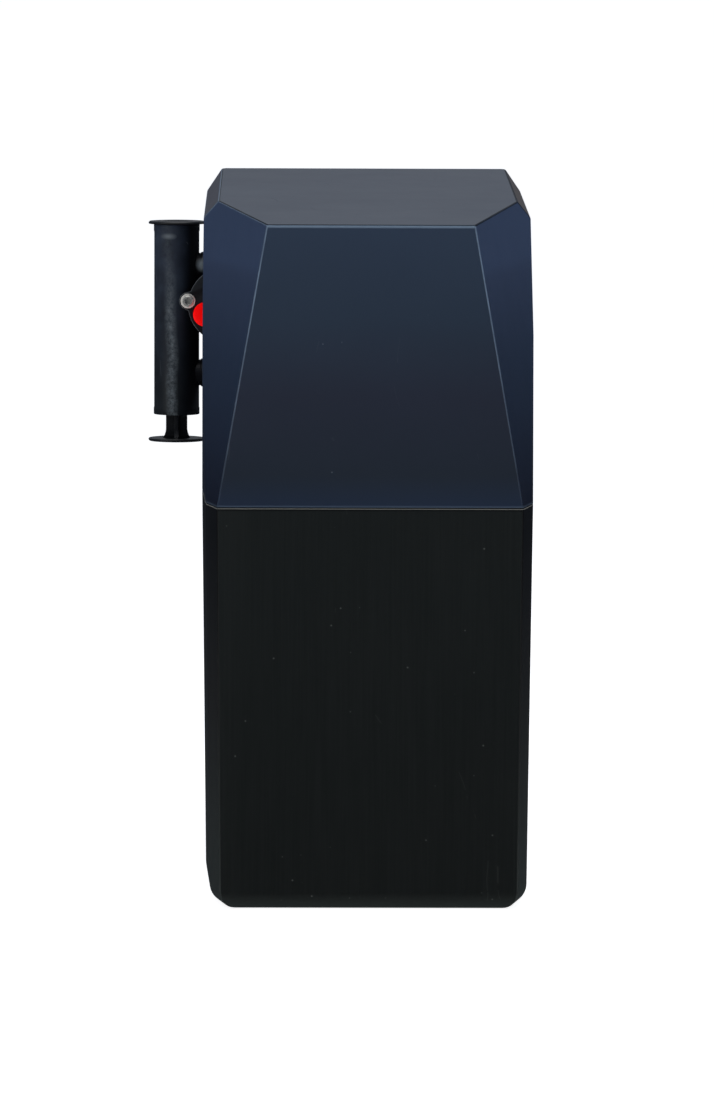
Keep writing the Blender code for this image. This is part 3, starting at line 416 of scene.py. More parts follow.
moulded_black = moulded_plastic("moulded_black", (0.0085, 0.0095, 0.0115), 0.40, scuffs=0.45, dust=0.08)
white_plastic = moulded_plastic("white_plastic", (0.72, 0.72, 0.69), 0.42, pale=(0.60, 0.59, 0.55), scuffs=0.4)
acetal = moulded_plastic("acetal", (0.80, 0.79, 0.73), 0.34, pale=(0.70, 0.68, 0.60), scuffs=0.2, grain=0.1)
red_plastic = moulded_plastic("red_plastic", (0.98, 0.001, 0.001), 0.55, pale=(0.90, 0.004, 0.004), scuffs=0.1,
                              grain=0.12, dust=0.01, specular=0.08)
# Painted glow: the red knob gives off a little red light of its own, though it is no lamp.
red_shader = red_plastic.node_tree.nodes["Principled BSDF"]
red_shader.inputs["Emission Color"].default_value = (1.0, 0.0, 0.0, 1.0)
red_shader.inputs["Emission Strength"].default_value = 0.30

# %% [markdown]
# ### The navy hood
# The hood is satin navy plastic. Its facets are flat, so what tells them apart is how each one catches the soft
# boxes, helped by painted light: the front and the flanks have painted shading that changes with height, and the top
# chamfers a painted grey reflection. The colour drifts slowly from blue to a greyer blue, and a few specks of dust and
# hairlines lie on it. The rounded edges carry painted light too: the upright and left-facing ones a painted highlight,
# the others painted shade, and thin painted highlights run along the lower edge and under the front's top edge. The
# edge strips carry one attribute for the painted highlight and one for the painted shade, and the recipe reads both.

# %% Navy hood finish
NAVY = (0.0120, 0.0220, 0.0430)
# Colour of the painted highlight on the rounded edges.
NAVY_EDGE_HIGHLIGHT = (0.1350, 0.1900, 0.2600)
# Colour of the painted shade on the rounded edges.
NAVY_EDGE_SHADE = (0.0040, 0.0065, 0.0100)
# Grey of the painted reflection on the top chamfers.
CHAMFER_REFLECTION_GREY = (0.1050, 0.0900, 0.0840)
# Painted shading: the front's and the flanks' colours by height, standing in for how the light falls on them.
FRONT_PAINTED_SHADING = [
    (0.00, (0.0115, 0.0230, 0.0500)),
    (0.10, (0.0135, 0.0210, 0.0350)),
    (0.35, (0.0175, 0.0235, 0.0430)),
    (0.60, (0.0200, 0.0350, 0.0620)),
    (0.90, (0.0250, 0.0420, 0.0760)),
]
SIDE_PAINTED_SHADING = [
    (0.00, (0.0015, 0.0040, 0.0150)),
    (0.45, (0.0130, 0.0260, 0.0580)),
    (0.72, (0.0270, 0.0450, 0.0960)),
    (0.76, (0.0330, 0.0560, 0.1180)),
]


def make_navy():
    finish, tree, shader, place = start_material("navy_satin", NAVY, 0.36, specular=0.35)
    grain = use_group(tree, grain_group, vector=place, scale=1800.0, wave=1.2)["Height"]
    relief(tree, shader, grain, 0.08, 0.0001)
    # Painted shading: front and flank tones that change with height, and a painted grey reflection on the chamfers.
    front = height_tones(tree, place, hood_low.z, hood_high.z, FRONT_PAINTED_SHADING)
    sides = height_tones(tree, place, hood_low.z, hood_high.z, SIDE_PAINTED_SHADING)
    body = mix_colour(tree, attribute(tree, "side_panel"), front, sides)
    body = mix_colour(tree, attribute(tree, "chamfer_reflection"), body, (*CHAMFER_REFLECTION_GREY, 1.0))
    drift = noise(tree, stretched(tree, place, (1.0, 1.0, 0.6)), 5.0, 3.0, 0.5)
    shaded = put(tree, "ShaderNodeMix", {"data_type": "RGBA", "blend_type": "MULTIPLY"},
                 {0: remap(tree, drift, 0.3, 0.7, 0.0, 0.25), 6: body, 7: (0.6, 0.6, 0.6, 1.0)}).outputs[2]
    # Painted highlight along the marked rounded edges, mottled, and weaker towards the bottom.
    scuffed_sheen = noise(tree, place, 60.0, 4.0, 0.6)
    height = put(tree, "ShaderNodeSeparateXYZ", None, {"Vector": place}).outputs["Z"]
    wear_and_edge_sheen = maths(tree, "MULTIPLY", attribute(tree, "painted_edge_highlight"), remap(tree, scuffed_sheen, 0.25, 0.7, 0.45, 1.0))
    wear_and_edge_sheen = maths(tree, "MULTIPLY", wear_and_edge_sheen, remap(tree, height, hood_low.z, hood_low.z + 0.16, 0.07, 1.0))
    # Painted highlights: a thin line along the hood's lower edge and one just under the front's top edge.
    lip = remap(tree, height, hood_low.z + 0.0007, hood_low.z + 0.0016, 0.20, 0.0)
    depth = put(tree, "ShaderNodeSeparateXYZ", None, {"Vector": place}).outputs["Y"]
    front_lip = maths(tree, "MULTIPLY", remap(tree, height, FRONT_TOP - 0.0026, FRONT_TOP - 0.0016),
                      maths(tree, "LESS_THAN", depth, cabinet_low.y + 0.0004))
    painted_highlights = maths(tree, "MAXIMUM", maths(tree, "MAXIMUM", wear_and_edge_sheen, lip), maths(tree, "MULTIPLY", front_lip, 0.9))
    edged = mix_colour(tree, painted_highlights, shaded, (*NAVY_EDGE_HIGHLIGHT, 1.0))
    # Painted shade on the rounded edges marked as dark, with less gloss there.
    edge_shade = attribute(tree, "painted_edge_shade")
    edged = mix_colour(tree, maths(tree, "MULTIPLY", edge_shade, 0.85), edged, (*NAVY_EDGE_SHADE, 1.0))
    tree.links.new(remap(tree, edge_shade, 0.0, 1.0, 0.35, 0.03), shader.inputs["Specular IOR Level"])
    specks = use_group(tree, dust_group, vector=place, scale=150.0, amount=0.045)["Mask"]
    lines = use_group(tree, hairline_group, vector=place, scale=26.0, amount=0.36)["Mask"]
    marks = maths(tree, "ADD", maths(tree, "MULTIPLY", specks, 0.5), maths(tree, "MULTIPLY", lines, 0.05))
    marked = mix_colour(tree, marks, edged, (0.20, 0.23, 0.27, 1.0))
    tree.links.new(marked, shader.inputs["Base Color"])
    haze = noise(tree, place, 11.0, 5.0, 0.65)
    gloss = remap(tree, haze, 0.3, 0.7, 0.345, 0.385)
    tree.links.new(maths(tree, "ADD", gloss, maths(tree, "MULTIPLY", lines, 0.08)), shader.inputs["Roughness"])
    return finish


navy_satin = make_navy()

# %% [markdown]
# ### The black cabinet
# The cabinet is moulded in black plastic. Faint upright streaks run down its panels where the plastic was drawn
# over the mould. Its colour carries painted light as well: the side panels are painted lighter low down and dark at
# the top, the front is painted lighter near its left edge, a painted sheen runs along the foot, a painted shadow lies
# just under the hood's edge, and its top rim, the step that carries the hood, has a painted highlight.

# %% Black cabinet finish
SOOT = (0.0054, 0.0075, 0.0069)
# Lighter tone for the streaks and for the painted sheen near the front's left edge.
SOOT_STREAK_AND_SHEEN = (0.0088, 0.0110, 0.0105)
# Colour of the painted sheen along the foot.
SOOT_FOOT = (0.0300, 0.0370, 0.0345)
RIM_SHINE = (0.165, 0.165, 0.150)
# Painted shading of the side panels: lighter low down, dark at the top.
CABINET_SIDE_PAINTED_SHADING = [
    (0.05, (0.0250, 0.0300, 0.0280)),
    (0.50, (0.0120, 0.0125, 0.0120)),
    (0.95, (0.0006, 0.0006, 0.0008)),
]


def make_soot():
    finish, tree, shader, place = start_material("black_satin", SOOT, 0.42, specular=0.30)
    streaks = noise(tree, stretched(tree, place, (0.005, 0.005, 0.9)), 4.0, 4.0, 0.7)
    height = use_group(tree, grain_group, vector=place, scale=1500.0, wave=0.8)["Height"]
    relief(tree, shader, maths(tree, "ADD", height, streaks), 0.10, 0.0001)
    parts = put(tree, "ShaderNodeSeparateXYZ", None, {"Vector": place}).outputs
    # Painted sheen: the front is lighter towards its left edge, added to the streaks.
    glow = remap(tree, parts["X"], cabinet_low.x + 0.012, cabinet_low.x + 0.034, 0.45, 0.0)
    streaks_and_sheen = maths(tree, "ADD", remap(tree, streaks, 0.35, 0.7), glow)
    front = mix_colour(tree, streaks_and_sheen, (*SOOT, 1.0), (*SOOT_STREAK_AND_SHEEN, 1.0))
    # Painted shading: sideways faces are lighter low down and dark at the top.
    edges = height_tones(tree, place, 0.0, hood_low.z, CABINET_SIDE_PAINTED_SHADING)
    body = mix_colour(tree, attribute(tree, "side_panel"), front, edges)
    # Painted shadow just under the hood's edge, and a painted sheen along the foot.
    under_rim = remap(tree, parts["Z"], hood_low.z - 0.0032, hood_low.z - 0.0019, 0.0, 0.8)
    foot = remap(tree, parts["Z"], 0.000, 0.012, 0.45, 0.0)
    footed = mix_colour(tree, foot, body, (*SOOT_FOOT, 1.0))
    shaded = mix_colour(tree, under_rim, footed, (0.0005, 0.0005, 0.0008, 1.0))
    # Painted highlight on the rim chamfer.
    rimmed = mix_colour(tree, attribute(tree, "painted_edge_highlight"), shaded, (*RIM_SHINE, 1.0))
    settled = remap(tree, parts["Z"], 0.02, 0.07, 0.22, 0.08)
    specks = use_group(tree, dust_group, vector=place, scale=150.0, amount=settled)["Mask"]
    lines = use_group(tree, hairline_group, vector=place, scale=22.0, amount=0.38)["Mask"]
    marks = maths(tree, "ADD", maths(tree, "MULTIPLY", specks, 0.35), maths(tree, "MULTIPLY", lines, 0.06))
    tree.links.new(mix_colour(tree, marks, rimmed, (0.16, 0.17, 0.16, 1.0)), shader.inputs["Base Color"])
    haze = noise(tree, place, 9.0, 5.0, 0.65)
    tree.links.new(remap(tree, haze, 0.3, 0.7, 0.38, 0.47), shader.inputs["Roughness"])
    return finish


black_satin = make_soot()

# %% [markdown]
# ### Steel, rubber, ceramic, wound tanks and beads
# The screws are bright stainless steel with turning marks. The tanks are wound with glass fibre in blue resin, which
# shows as crossing bands. The resin beds are beads, drawn as small round cells.

# %% Steel, rubber and ceramic


def make_steel(name, metallic, dull, bright):
    finish, tree, shader, place = start_material(name, bright, 0.20, metallic=metallic)
    rings = noise(tree, stretched(tree, place, (0.2, 0.01, 0.2)), 90.0, 3.0, 0.6)
    tree.links.new(remap(tree, rings, 0.3, 0.7, 0.14, 0.30), shader.inputs["Roughness"])
    tint = noise(tree, place, 160.0, 3.0, 0.6)
    tree.links.new(mix_colour(tree, tint, (*dull, 1.0), (*bright, 1.0)), shader.inputs["Base Color"])
    relief(tree, shader, rings, 0.12, 0.0001)
    return finish


def make_rubber():
    finish, tree, shader, place = start_material("seal_rubber", (0.012, 0.012, 0.012), 0.62)
    height = use_group(tree, grain_group, vector=place, scale=2200.0, wave=0.3)["Height"]
    relief(tree, shader, height, 0.3, 0.0001)
    bloom = use_group(tree, scuff_group, vector=place, scale=70.0, spread=0.5)["Mask"]
    tree.links.new(mix_colour(tree, maths(tree, "MULTIPLY", bloom, 0.4), (0.012, 0.012, 0.012, 1.0),
                              (0.05, 0.05, 0.048, 1.0)), shader.inputs["Base Color"])
    tree.links.new(maths(tree, "ADD", 0.55, maths(tree, "MULTIPLY", bloom, 0.2)), shader.inputs["Roughness"])
    return finish


def make_ceramic():
    finish, tree, shader, place = start_material("ceramic", (0.86, 0.84, 0.79), 0.16)
    specks = use_group(tree, dust_group, vector=place, scale=700.0, amount=0.25)["Mask"]
    tree.links.new(mix_colour(tree, maths(tree, "MULTIPLY", specks, 0.25), (0.86, 0.84, 0.79, 1.0),
                              (0.62, 0.60, 0.56, 1.0)), shader.inputs["Base Color"])
    lapped = noise(tree, place, 500.0, 3.0, 0.7)
    tree.links.new(remap(tree, lapped, 0.3, 0.7, 0.10, 0.22), shader.inputs["Roughness"])
    return finish


stainless_steel = make_steel("stainless_steel", 0.60, (0.46, 0.46, 0.42), (0.82, 0.81, 0.75))
pressed_steel = make_steel("pressed_steel", 0.05, (0.66, 0.63, 0.58), (0.90, 0.87, 0.82))
seal_rubber = make_rubber()
ceramic = make_ceramic()

# %% Wound tanks and resin beads


def make_winding():
    finish, tree, shader, place = start_material("tank_winding", (0.075, 0.155, 0.270), 0.38)
    waves = []
    for lean in (0.6, -0.6):
        turned = put(tree, "ShaderNodeMapping", {"vector_type": "POINT"}, {"Vector": place, "Rotation": (0, lean, 0)})
        bands = put(tree, "ShaderNodeTexWave", {"bands_direction": "Z"},
                    {"Vector": turned.outputs[0], "Scale": 30.0, "Distortion": 1.2, "Detail": 3.0})
        waves.append(bands.outputs["Fac"])
    weave = maths(tree, "MAXIMUM", *waves)
    fibres = noise(tree, stretched(tree, place, (0.3, 0.3, 0.02)), 60.0, 3.0, 0.6)
    height = maths(tree, "ADD", weave, maths(tree, "MULTIPLY", fibres, 0.3))
    relief(tree, shader, height, 0.35, 0.0004)
    tree.links.new(mix_colour(tree, weave, (0.045, 0.100, 0.185, 1.0), (0.10, 0.195, 0.320, 1.0)),
                   shader.inputs["Base Color"])
    tree.links.new(remap(tree, fibres, 0.3, 0.7, 0.30, 0.45), shader.inputs["Roughness"])
    return finish


def make_beads():
    finish, tree, shader, place = start_material("resin_beads", (0.42, 0.17, 0.04), 0.30)
    cells = put(tree, "ShaderNodeTexVoronoi", None, {"Vector": place, "Scale": 900.0})
    # The beads are painted darker towards their rims: painted shade in the gaps between them.
    tree.links.new(mix_colour(tree, cells.outputs["Distance"], (0.52, 0.24, 0.06, 1.0), (0.10, 0.03, 0.01, 1.0)),
                   shader.inputs["Base Color"])
    round_top = maths(tree, "SUBTRACT", 1.0, cells.outputs["Distance"])
    relief(tree, shader, round_top, 0.8, 0.0006)
    tree.links.new(remap(tree, cells.outputs["Distance"], 0.0, 0.6, 0.25, 0.60), shader.inputs["Roughness"])
    return finish


tank_winding = make_winding()
resin_beads = make_beads()

# %% [markdown]
# ## Tools for the shapes
# Every shape starts as a bmesh. A turned piece is a profile of radii and heights spun round Z, laid over if its axis
# is not upright, and then moved to its place. A piece's object stays at the origin: only its vertices move.

# %% Shape helpers
TURN_BACK = (-math.pi / 2, 0.0, 0.0)
TURN_FRONT = (math.pi / 2, 0.0, 0.0)
TURN_RIGHT = (0.0, math.pi / 2, 0.0)


def add_piece(bm, name, finish, body, replaced=(), recalculate=True):
    """Makes the bmesh an object, hands it to its body, and hides the nodes that it stands for."""
    if recalculate:
        bmesh.ops.recalc_face_normals(bm, faces=bm.faces)
    mesh = bpy.data.meshes.new(name)
    bm.to_mesh(mesh)
    bm.free()
    mesh.materials.append(finish)
    piece = bpy.data.objects.new(name, mesh)
    bpy.context.scene.collection.objects.link(piece)
    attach(piece, body)
    if replaced:
        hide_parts(*replaced)
    return piece


def spin_profile(profile, steps=64):
    """A bmesh turned from (radius, height) points. One that starts off the axis closes into a ring."""
    bm = bmesh.new()
    points = [bm.verts.new((radius, 0.0, height)) for radius, height in profile]
    edges = [bm.edges.new(pair) for pair in zip(points, points[1:])]
    if profile[0][0] > 0:
        edges.append(bm.edges.new((points[-1], points[0])))
    bmesh.ops.spin(bm, geom=points + edges, cent=(0, 0, 0), axis=(0, 0, 1), angle=math.tau, steps=steps,
                   use_merge=True)
    bmesh.ops.remove_doubles(bm, verts=bm.verts, dist=1e-6)
    return bm


def round_corners(bm, width, segments=2, angle=30.0, low=None, clamp=True):
    """Rounds every edge sharper than an angle, and returns the new faces."""
    sharp = []
    for edge in bm.edges:
        if len(edge.link_faces) != 2 or edge.calc_face_angle(0.0) < math.radians(angle):
            continue
        if low is None or max(v.co.z for v in edge.verts) > low:
            sharp.append(edge)
    made = bmesh.ops.bevel(bm, geom=sharp, offset=width, segments=segments, profile=0.5, affect="EDGES",
                           material=-1, clamp_overlap=clamp)
    return made["faces"]


def shade(bm, angle=35.0):
    """Smooth faces, with sharp edges kept sharp."""
    for face in bm.faces:
        face.smooth = True
    for edge in bm.edges:
        edge.smooth = edge.calc_face_angle(0.0) < math.radians(angle)


def stand(bm, at, turn=(0.0, 0.0, 0.0)):
    """Turns a bmesh about the origin and moves it to its place."""
    spun = Matrix.Rotation(turn[1], 4, "Y") @ Matrix.Rotation(turn[0], 4, "X")
    bmesh.ops.transform(bm, matrix=Matrix.Translation(at) @ spun, verts=bm.verts)
    return bm


def lathe(name, profile, at, finish, body, turn=(0.0, 0.0, 0.0), steps=64, soften=0.0003, replaced=()):
    """A turned piece with softened rims."""
    bm = spin_profile(profile, steps)
    bmesh.ops.recalc_face_normals(bm, faces=bm.faces)
    if soften:
        round_corners(bm, soften)
    shade(bm)
    stand(bm, at, turn)
    return add_piece(bm, name, finish, body, replaced)


def centre_of(node):
    low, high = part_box(node)
    return (low + high) / 2


# %% [markdown]
# ## The hood
# The hood is one thin shell of flat facets. A solid block is cut by five planes: the sloping top, two tall corner
# facets that lean in towards the top, and two narrow chamfers along the top's sides. Cutting a block with planes
# keeps every facet truly flat, which modelling by vertices does not. The edges are then rounded by a millimetre, the
# rear is notched for the pipes, and the skin is thickened inwards.

# %% Hood sizes
HALF_WIDTH = hood_high.x
HALF_DEPTH = hood_high.y
SEAM = hood_low.z
FRONT_HALF = HALF_WIDTH - 0.012
FACET_HALF = HALF_WIDTH - 0.004
FACET_BACK = FRONT + 0.038
FLANK_START = FRONT + 0.150
REAR_CHAMFER = 0.014
FRONT_TOP_HALF = 0.0725
TOP_SLOPE = 0.053
CHAMFER_WIDTH = 0.0112
CHAMFER_DROP = 0.016
WALL = 0.003
ABOVE_ALL = hood_high.z + 0.06
NOTCH_LEFT = -0.084
NOTCH_RIGHT = 0.032
NOTCH_TOP = SEAM + 0.162


def plan_outline():
    """Plan of the cabinet at the seam, anticlockwise from the front right corner."""
    right = [
        (FRONT_HALF, -HALF_DEPTH),
        (FACET_HALF, FACET_BACK),
        (HALF_WIDTH, FLANK_START),
        (HALF_WIDTH, HALF_DEPTH - REAR_CHAMFER),
        (HALF_WIDTH - REAR_CHAMFER, HALF_DEPTH),
    ]
    return right + [(-x, y) for x, y in reversed(right)]


def block_from_outline(low, high):
    """The plan raised from one height to another."""
    bm = bmesh.new()
    floor = bm.faces.new([bm.verts.new((x, y, low)) for x, y in plan_outline()])
    raised = bmesh.ops.extrude_face_region(bm, geom=[floor])
    top = [v for v in raised["geom"] if isinstance(v, bmesh.types.BMVert)]
    bmesh.ops.translate(bm, vec=(0, 0, high - low), verts=top)
    bmesh.ops.recalc_face_normals(bm, faces=bm.faces)
    return bm


def hood_planes():
    """(point, outward normal) of the top, the two corner facets and the two top chamfers."""
    top = Vector((0, -HALF_DEPTH, FRONT_TOP))
    planes = [(top, Vector((0, -TOP_SLOPE, 1)).normalized())]
    for side in (-1, 1):
        low_front = Vector((side * FRONT_HALF, -HALF_DEPTH, SEAM))
        low_back = Vector((side * FACET_HALF, FACET_BACK, SEAM))
        high_front = Vector((side * FRONT_TOP_HALF, -HALF_DEPTH, FRONT_TOP))
        facet = (low_back - low_front).cross(high_front - low_front).normalized() * side
        planes.append((low_front, facet))
        crest = top + Vector((side * (HALF_WIDTH - CHAMFER_WIDTH), 0, 0))
        down = Vector((side * CHAMFER_WIDTH, 0, -CHAMFER_DROP))
        planes.append((crest, down.cross(Vector((0, 1, TOP_SLOPE))).normalized() * side))
    return planes


def slice_off(bm, point, normal):
    """Removes what lies beyond a plane, and closes the cut."""
    found = bmesh.ops.bisect_plane(bm, geom=bm.verts[:] + bm.edges[:] + bm.faces[:], plane_co=point,
                                   plane_no=normal, clear_outer=True, dist=1e-7)
    rim = [e for e in found["geom_cut"] if isinstance(e, bmesh.types.BMEdge)]
    bmesh.ops.contextual_create(bm, geom=rim)


# %% Hood shell
EDGE_ROUND = 0.0010
SIDE_FACING = 0.4


def cut_notch(bm):
    """Opens the pipe notch in the rear wall."""
    for point, normal in (((NOTCH_LEFT, 0, 0), (1, 0, 0)), ((NOTCH_RIGHT, 0, 0), (1, 0, 0)),
                          ((0, 0, NOTCH_TOP), (0, 0, 1))):
        rear = [f for f in bm.faces if f.normal.y > 0.99]
        edges = {e for f in rear for e in f.edges}
        verts = {v for f in rear for v in f.verts}
        bmesh.ops.bisect_plane(bm, geom=list(verts) + list(edges) + rear, plane_co=point, plane_no=normal, dist=1e-7)
    gone = []
    for face in bm.faces:
        middle = face.calc_center_median()
        if face.normal.y > 0.99 and NOTCH_LEFT < middle.x < NOTCH_RIGHT and middle.z < NOTCH_TOP:
            gone.append(face)
    bmesh.ops.delete(bm, geom=gone, context="FACES")


def thicken_inwards(bm, wall):
    """Gives an open skin its wall."""
    bmesh.ops.solidify(bm, geom=bm.faces[:], thickness=wall)


def edge_tones(normal):
    """(highlight, shade) of a rounded edge: upright and left-facing edges get a painted highlight, flank edges get
    neither, and the rest get painted shade.
    """
    if abs(normal.x) > 0.95:
        return 0.0, 0.0
    if normal.z < 0.3 and normal.y < -0.25:
        return (1.0, 0.0) if abs(normal.x) < 0.85 else (0.0, 0.0)
    if normal.x < -0.3 and (normal.y > -0.065 or normal.z < 0.45):
        return 1.0, 0.0
    return 0.0, 1.0


def make_hood_shell():
    bm = block_from_outline(SEAM, ABOVE_ALL)
    for point, normal in hood_planes():
        slice_off(bm, point, normal)
    highlight_layer = bm.faces.layers.float.new("painted_edge_highlight")
    edge_shade = bm.faces.layers.float.new("painted_edge_shade")
    side = bm.faces.layers.float.new("side_panel")
    chamfer_reflection = bm.faces.layers.float.new("chamfer_reflection")
    # Sideways faces take the flanks' painted shading, and the chamfers a painted grey reflection, stronger on the
    # right one.
    for face in bm.faces:
        face[side] = 1.0 if abs(face.normal.x) > SIDE_FACING else 0.0
        if abs(face.normal.x) > 0.5 and face.normal.z > 0.5:
            face[chamfer_reflection] = 1.0 if face.normal.x > 0 else 0.6
    # Each rounded edge is marked for a painted highlight or painted shade by which way it faces.
    for face in round_corners(bm, EDGE_ROUND, segments=3, angle=8.0, low=SEAM + 0.001):
        face.smooth = True
        face[chamfer_reflection] = 0.0
        face[highlight_layer], face[edge_shade] = edge_tones(face.normal)
    under = [f for f in bm.faces if f.normal.z < -0.99]
    bmesh.ops.delete(bm, geom=under, context="FACES")
    cut_notch(bm)
    thicken_inwards(bm, WALL)
    return add_piece(bm, "hood_shell", navy_satin, "hood", ["hood"], recalculate=False)


hood_shell = make_hood_shell()
print("hood", len(hood_shell.data.polygons), "faces")

# %% [markdown]
# ## The salt cabinet
# The cabinet is a deep bin. Its walls lean in a little towards the floor, so that it left the mould, and they turn
# into the floor through a wide round. The plan is raised, narrowed at the foot, rounded, opened at the top and
# thickened. A thin tongue inside the rim centres the hood, and the rim itself is a small chamfer with a painted
# highlight.

# %% Cabinet shell
FOOT_ROUND = 0.014
DRAFT = 0.003
EDGE_RADIUS = 0.0016
CORNER_STEPS = 4
SHOULDER = SEAM - 0.0005
TONGUE_OUTER = 0.0046
TONGUE_INNER = 0.0062


def inset_lines(points, distance):
    """The corners of a convex outline after every side has moved inwards."""
    lines = []
    for (x0, y0), (x1, y1) in zip(points, points[1:] + points[:1]):
        length = math.hypot(x1 - x0, y1 - y0)
        nx, ny = (y0 - y1) / length, (x1 - x0) / length
        lines.append((nx, ny, nx * x0 + ny * y0 + distance))
    corners = []
    for (a0, b0, c0), (a1, b1, c1) in zip(lines[-1:] + lines[:-1], lines):
        across = a0 * b1 - a1 * b0
        corners.append(Vector(((c0 * b1 - c1 * b0) / across, (a0 * c1 - a1 * c0) / across)))
    return corners


def rounded_plan(distance, radius):
    """The plan, moved inwards by a distance, with a small arc in place of each corner."""
    corners = inset_lines(plan_outline(), distance)
    points = []
    for i, corner in enumerate(corners):
        before = (corners[i - 1] - corner).normalized()
        after = (corners[(i + 1) % len(corners)] - corner).normalized()
        half = before.angle(after) / 2
        reach = radius / math.tan(half)
        centre = corner + (before + after).normalized() * (radius / math.sin(half))
        start = (corner + before * reach - centre).normalized()
        end = (corner + after * reach - centre).normalized()
        points += [centre + start.slerp(end, k / CORNER_STEPS) * radius for k in range(CORNER_STEPS + 1)]
    return points


def shell_rings():
    """(inset, height, corner radius) of each ring: up the outside, over the tongue and down the inside."""
    steps = [math.pi / 2 * i / 10 for i in range(11)]
    inner = FOOT_ROUND - WALL
    outside = [(DRAFT + FOOT_ROUND * (1 - math.sin(a)), FOOT_ROUND * (1 - math.cos(a)), EDGE_RADIUS) for a in steps]
    inside = [(DRAFT + WALL + inner * (1 - math.sin(a)), WALL + inner * (1 - math.cos(a)), 0.0008) for a in steps]
    rim = [
        (0.0, SHOULDER - 0.0008, EDGE_RADIUS),
        (0.0002, SHOULDER - 0.0003, EDGE_RADIUS),
        (0.0007, SHOULDER, EDGE_RADIUS),
        (TONGUE_OUTER, SHOULDER, 0.0012),
        (TONGUE_OUTER, cabinet_high.z - 0.0004, 0.0012),
        (TONGUE_OUTER + 0.0004, cabinet_high.z, 0.0012),
        (TONGUE_INNER - 0.0004, cabinet_high.z, 0.0012),
        (TONGUE_INNER, cabinet_high.z - 0.0004, 0.0012),
        (TONGUE_INNER, SEAM - 0.008, 0.0010),
        (WALL, SEAM - 0.013, 0.0008),
    ]
    return outside + rim + inside[::-1]


def make_cabinet_shell():
    bm = bmesh.new()
    highlight_layer = bm.faces.layers.float.new("painted_edge_highlight")
    side = bm.faces.layers.float.new("side_panel")
    loops = []
    for distance, height, radius in shell_rings():
        loops.append([bm.verts.new((x, y, height)) for x, y in rounded_plan(distance, radius)])
    count = len(loops[0])
    for lower, upper in zip(loops, loops[1:]):
        # The rim chamfer's faces are marked for a painted highlight.
        rim = lower[0].co.z > SHOULDER - 0.002 and upper[0].co.z <= SHOULDER and upper[0].co.z > lower[0].co.z
        for i in range(count):
            j = (i + 1) % count
            face = bm.faces.new((lower[i], lower[j], upper[j], upper[i]))
            face[highlight_layer] = 1.0 if rim else 0.0
    bm.faces.new(loops[0])
    bm.faces.new(loops[-1])
    bmesh.ops.recalc_face_normals(bm, faces=bm.faces)
    for face in bm.faces:
        face[side] = 1.0 if abs(face.normal.x) > SIDE_FACING else 0.0
    shade(bm, 25.0)
    return add_piece(bm, "cabinet_shell", black_satin, "cabinet", ["cabinet_base"])


cabinet_shell = make_cabinet_shell()
print("cabinet", len(cabinet_shell.data.polygons), "faces")

# %% [markdown]
# ## The bypass
# The bypass is a plain barrel with a spool in it. Pushing the spool's upper disc down puts the softener in use, and
# pushing the lower disc up shuts it off. The barrel has two threaded ports behind and two necks to the manifold.
# They are separate turned shapes that run into each other, as the moulded ones do.

# %% Barrel sizes
barrel_low, barrel_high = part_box("bypass_barrel")
spool_low, spool_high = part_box("bypass_spool")
foot_low, foot_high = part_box("spool_end_disc")
AXIS_X = (spool_low.x + spool_high.x) / 2
AXIS_Y = (spool_low.y + spool_high.y) / 2
BARREL_RADIUS = 0.0176
BARREL_BORE = 0.0125
UPPER_PORT = barrel_high.z - 0.032
LOWER_PORT = barrel_low.z + 0.032
PORT_RADIUS = 0.0132
PORT_BORE = 0.0055
THREAD_DEPTH = 0.0009
THREAD_PITCH = 0.0018
PORT_REACH = barrel_high.y - AXIS_Y

# %% [markdown]
# The barrel is the part that gets handled. Its colour carries painted light: the left side is painted paler than the
# right, and lighter towards the top, and a mottled, whitish streak runs down it a little left of the middle, a painted
# reflection broken up by scuffs, with a painted highlight near the top and another on the upper neck.

# %% Barrel finish with painted light
# Painted light: a dark shaded right side, a paler left side that lightens towards the top, and a pale colour for the
# scuffs, the painted reflection streak and the painted highlights.
BARREL_DEEP = (0.0032, 0.0036, 0.0054, 1.0)
BARREL_HIGH_TONE = (0.0270, 0.0370, 0.0600, 1.0)
BARREL_LOW_TONE = (0.0090, 0.0120, 0.0150, 1.0)
BARREL_SCUFF_AND_SHEEN = (0.1350, 0.1600, 0.1780, 1.0)


def painted_glint_spot(tree, place, centre, size):
    """A soft round painted highlight of a given size: 1 in its middle, 0 at its rim."""
    near = put(tree, "ShaderNodeMapping", {"vector_type": "TEXTURE"},
               {"Vector": place, "Location": centre, "Scale": size}).outputs[0]
    return put(tree, "ShaderNodeTexGradient", {"gradient_type": "SPHERICAL"}, {"Vector": near}).outputs["Fac"]


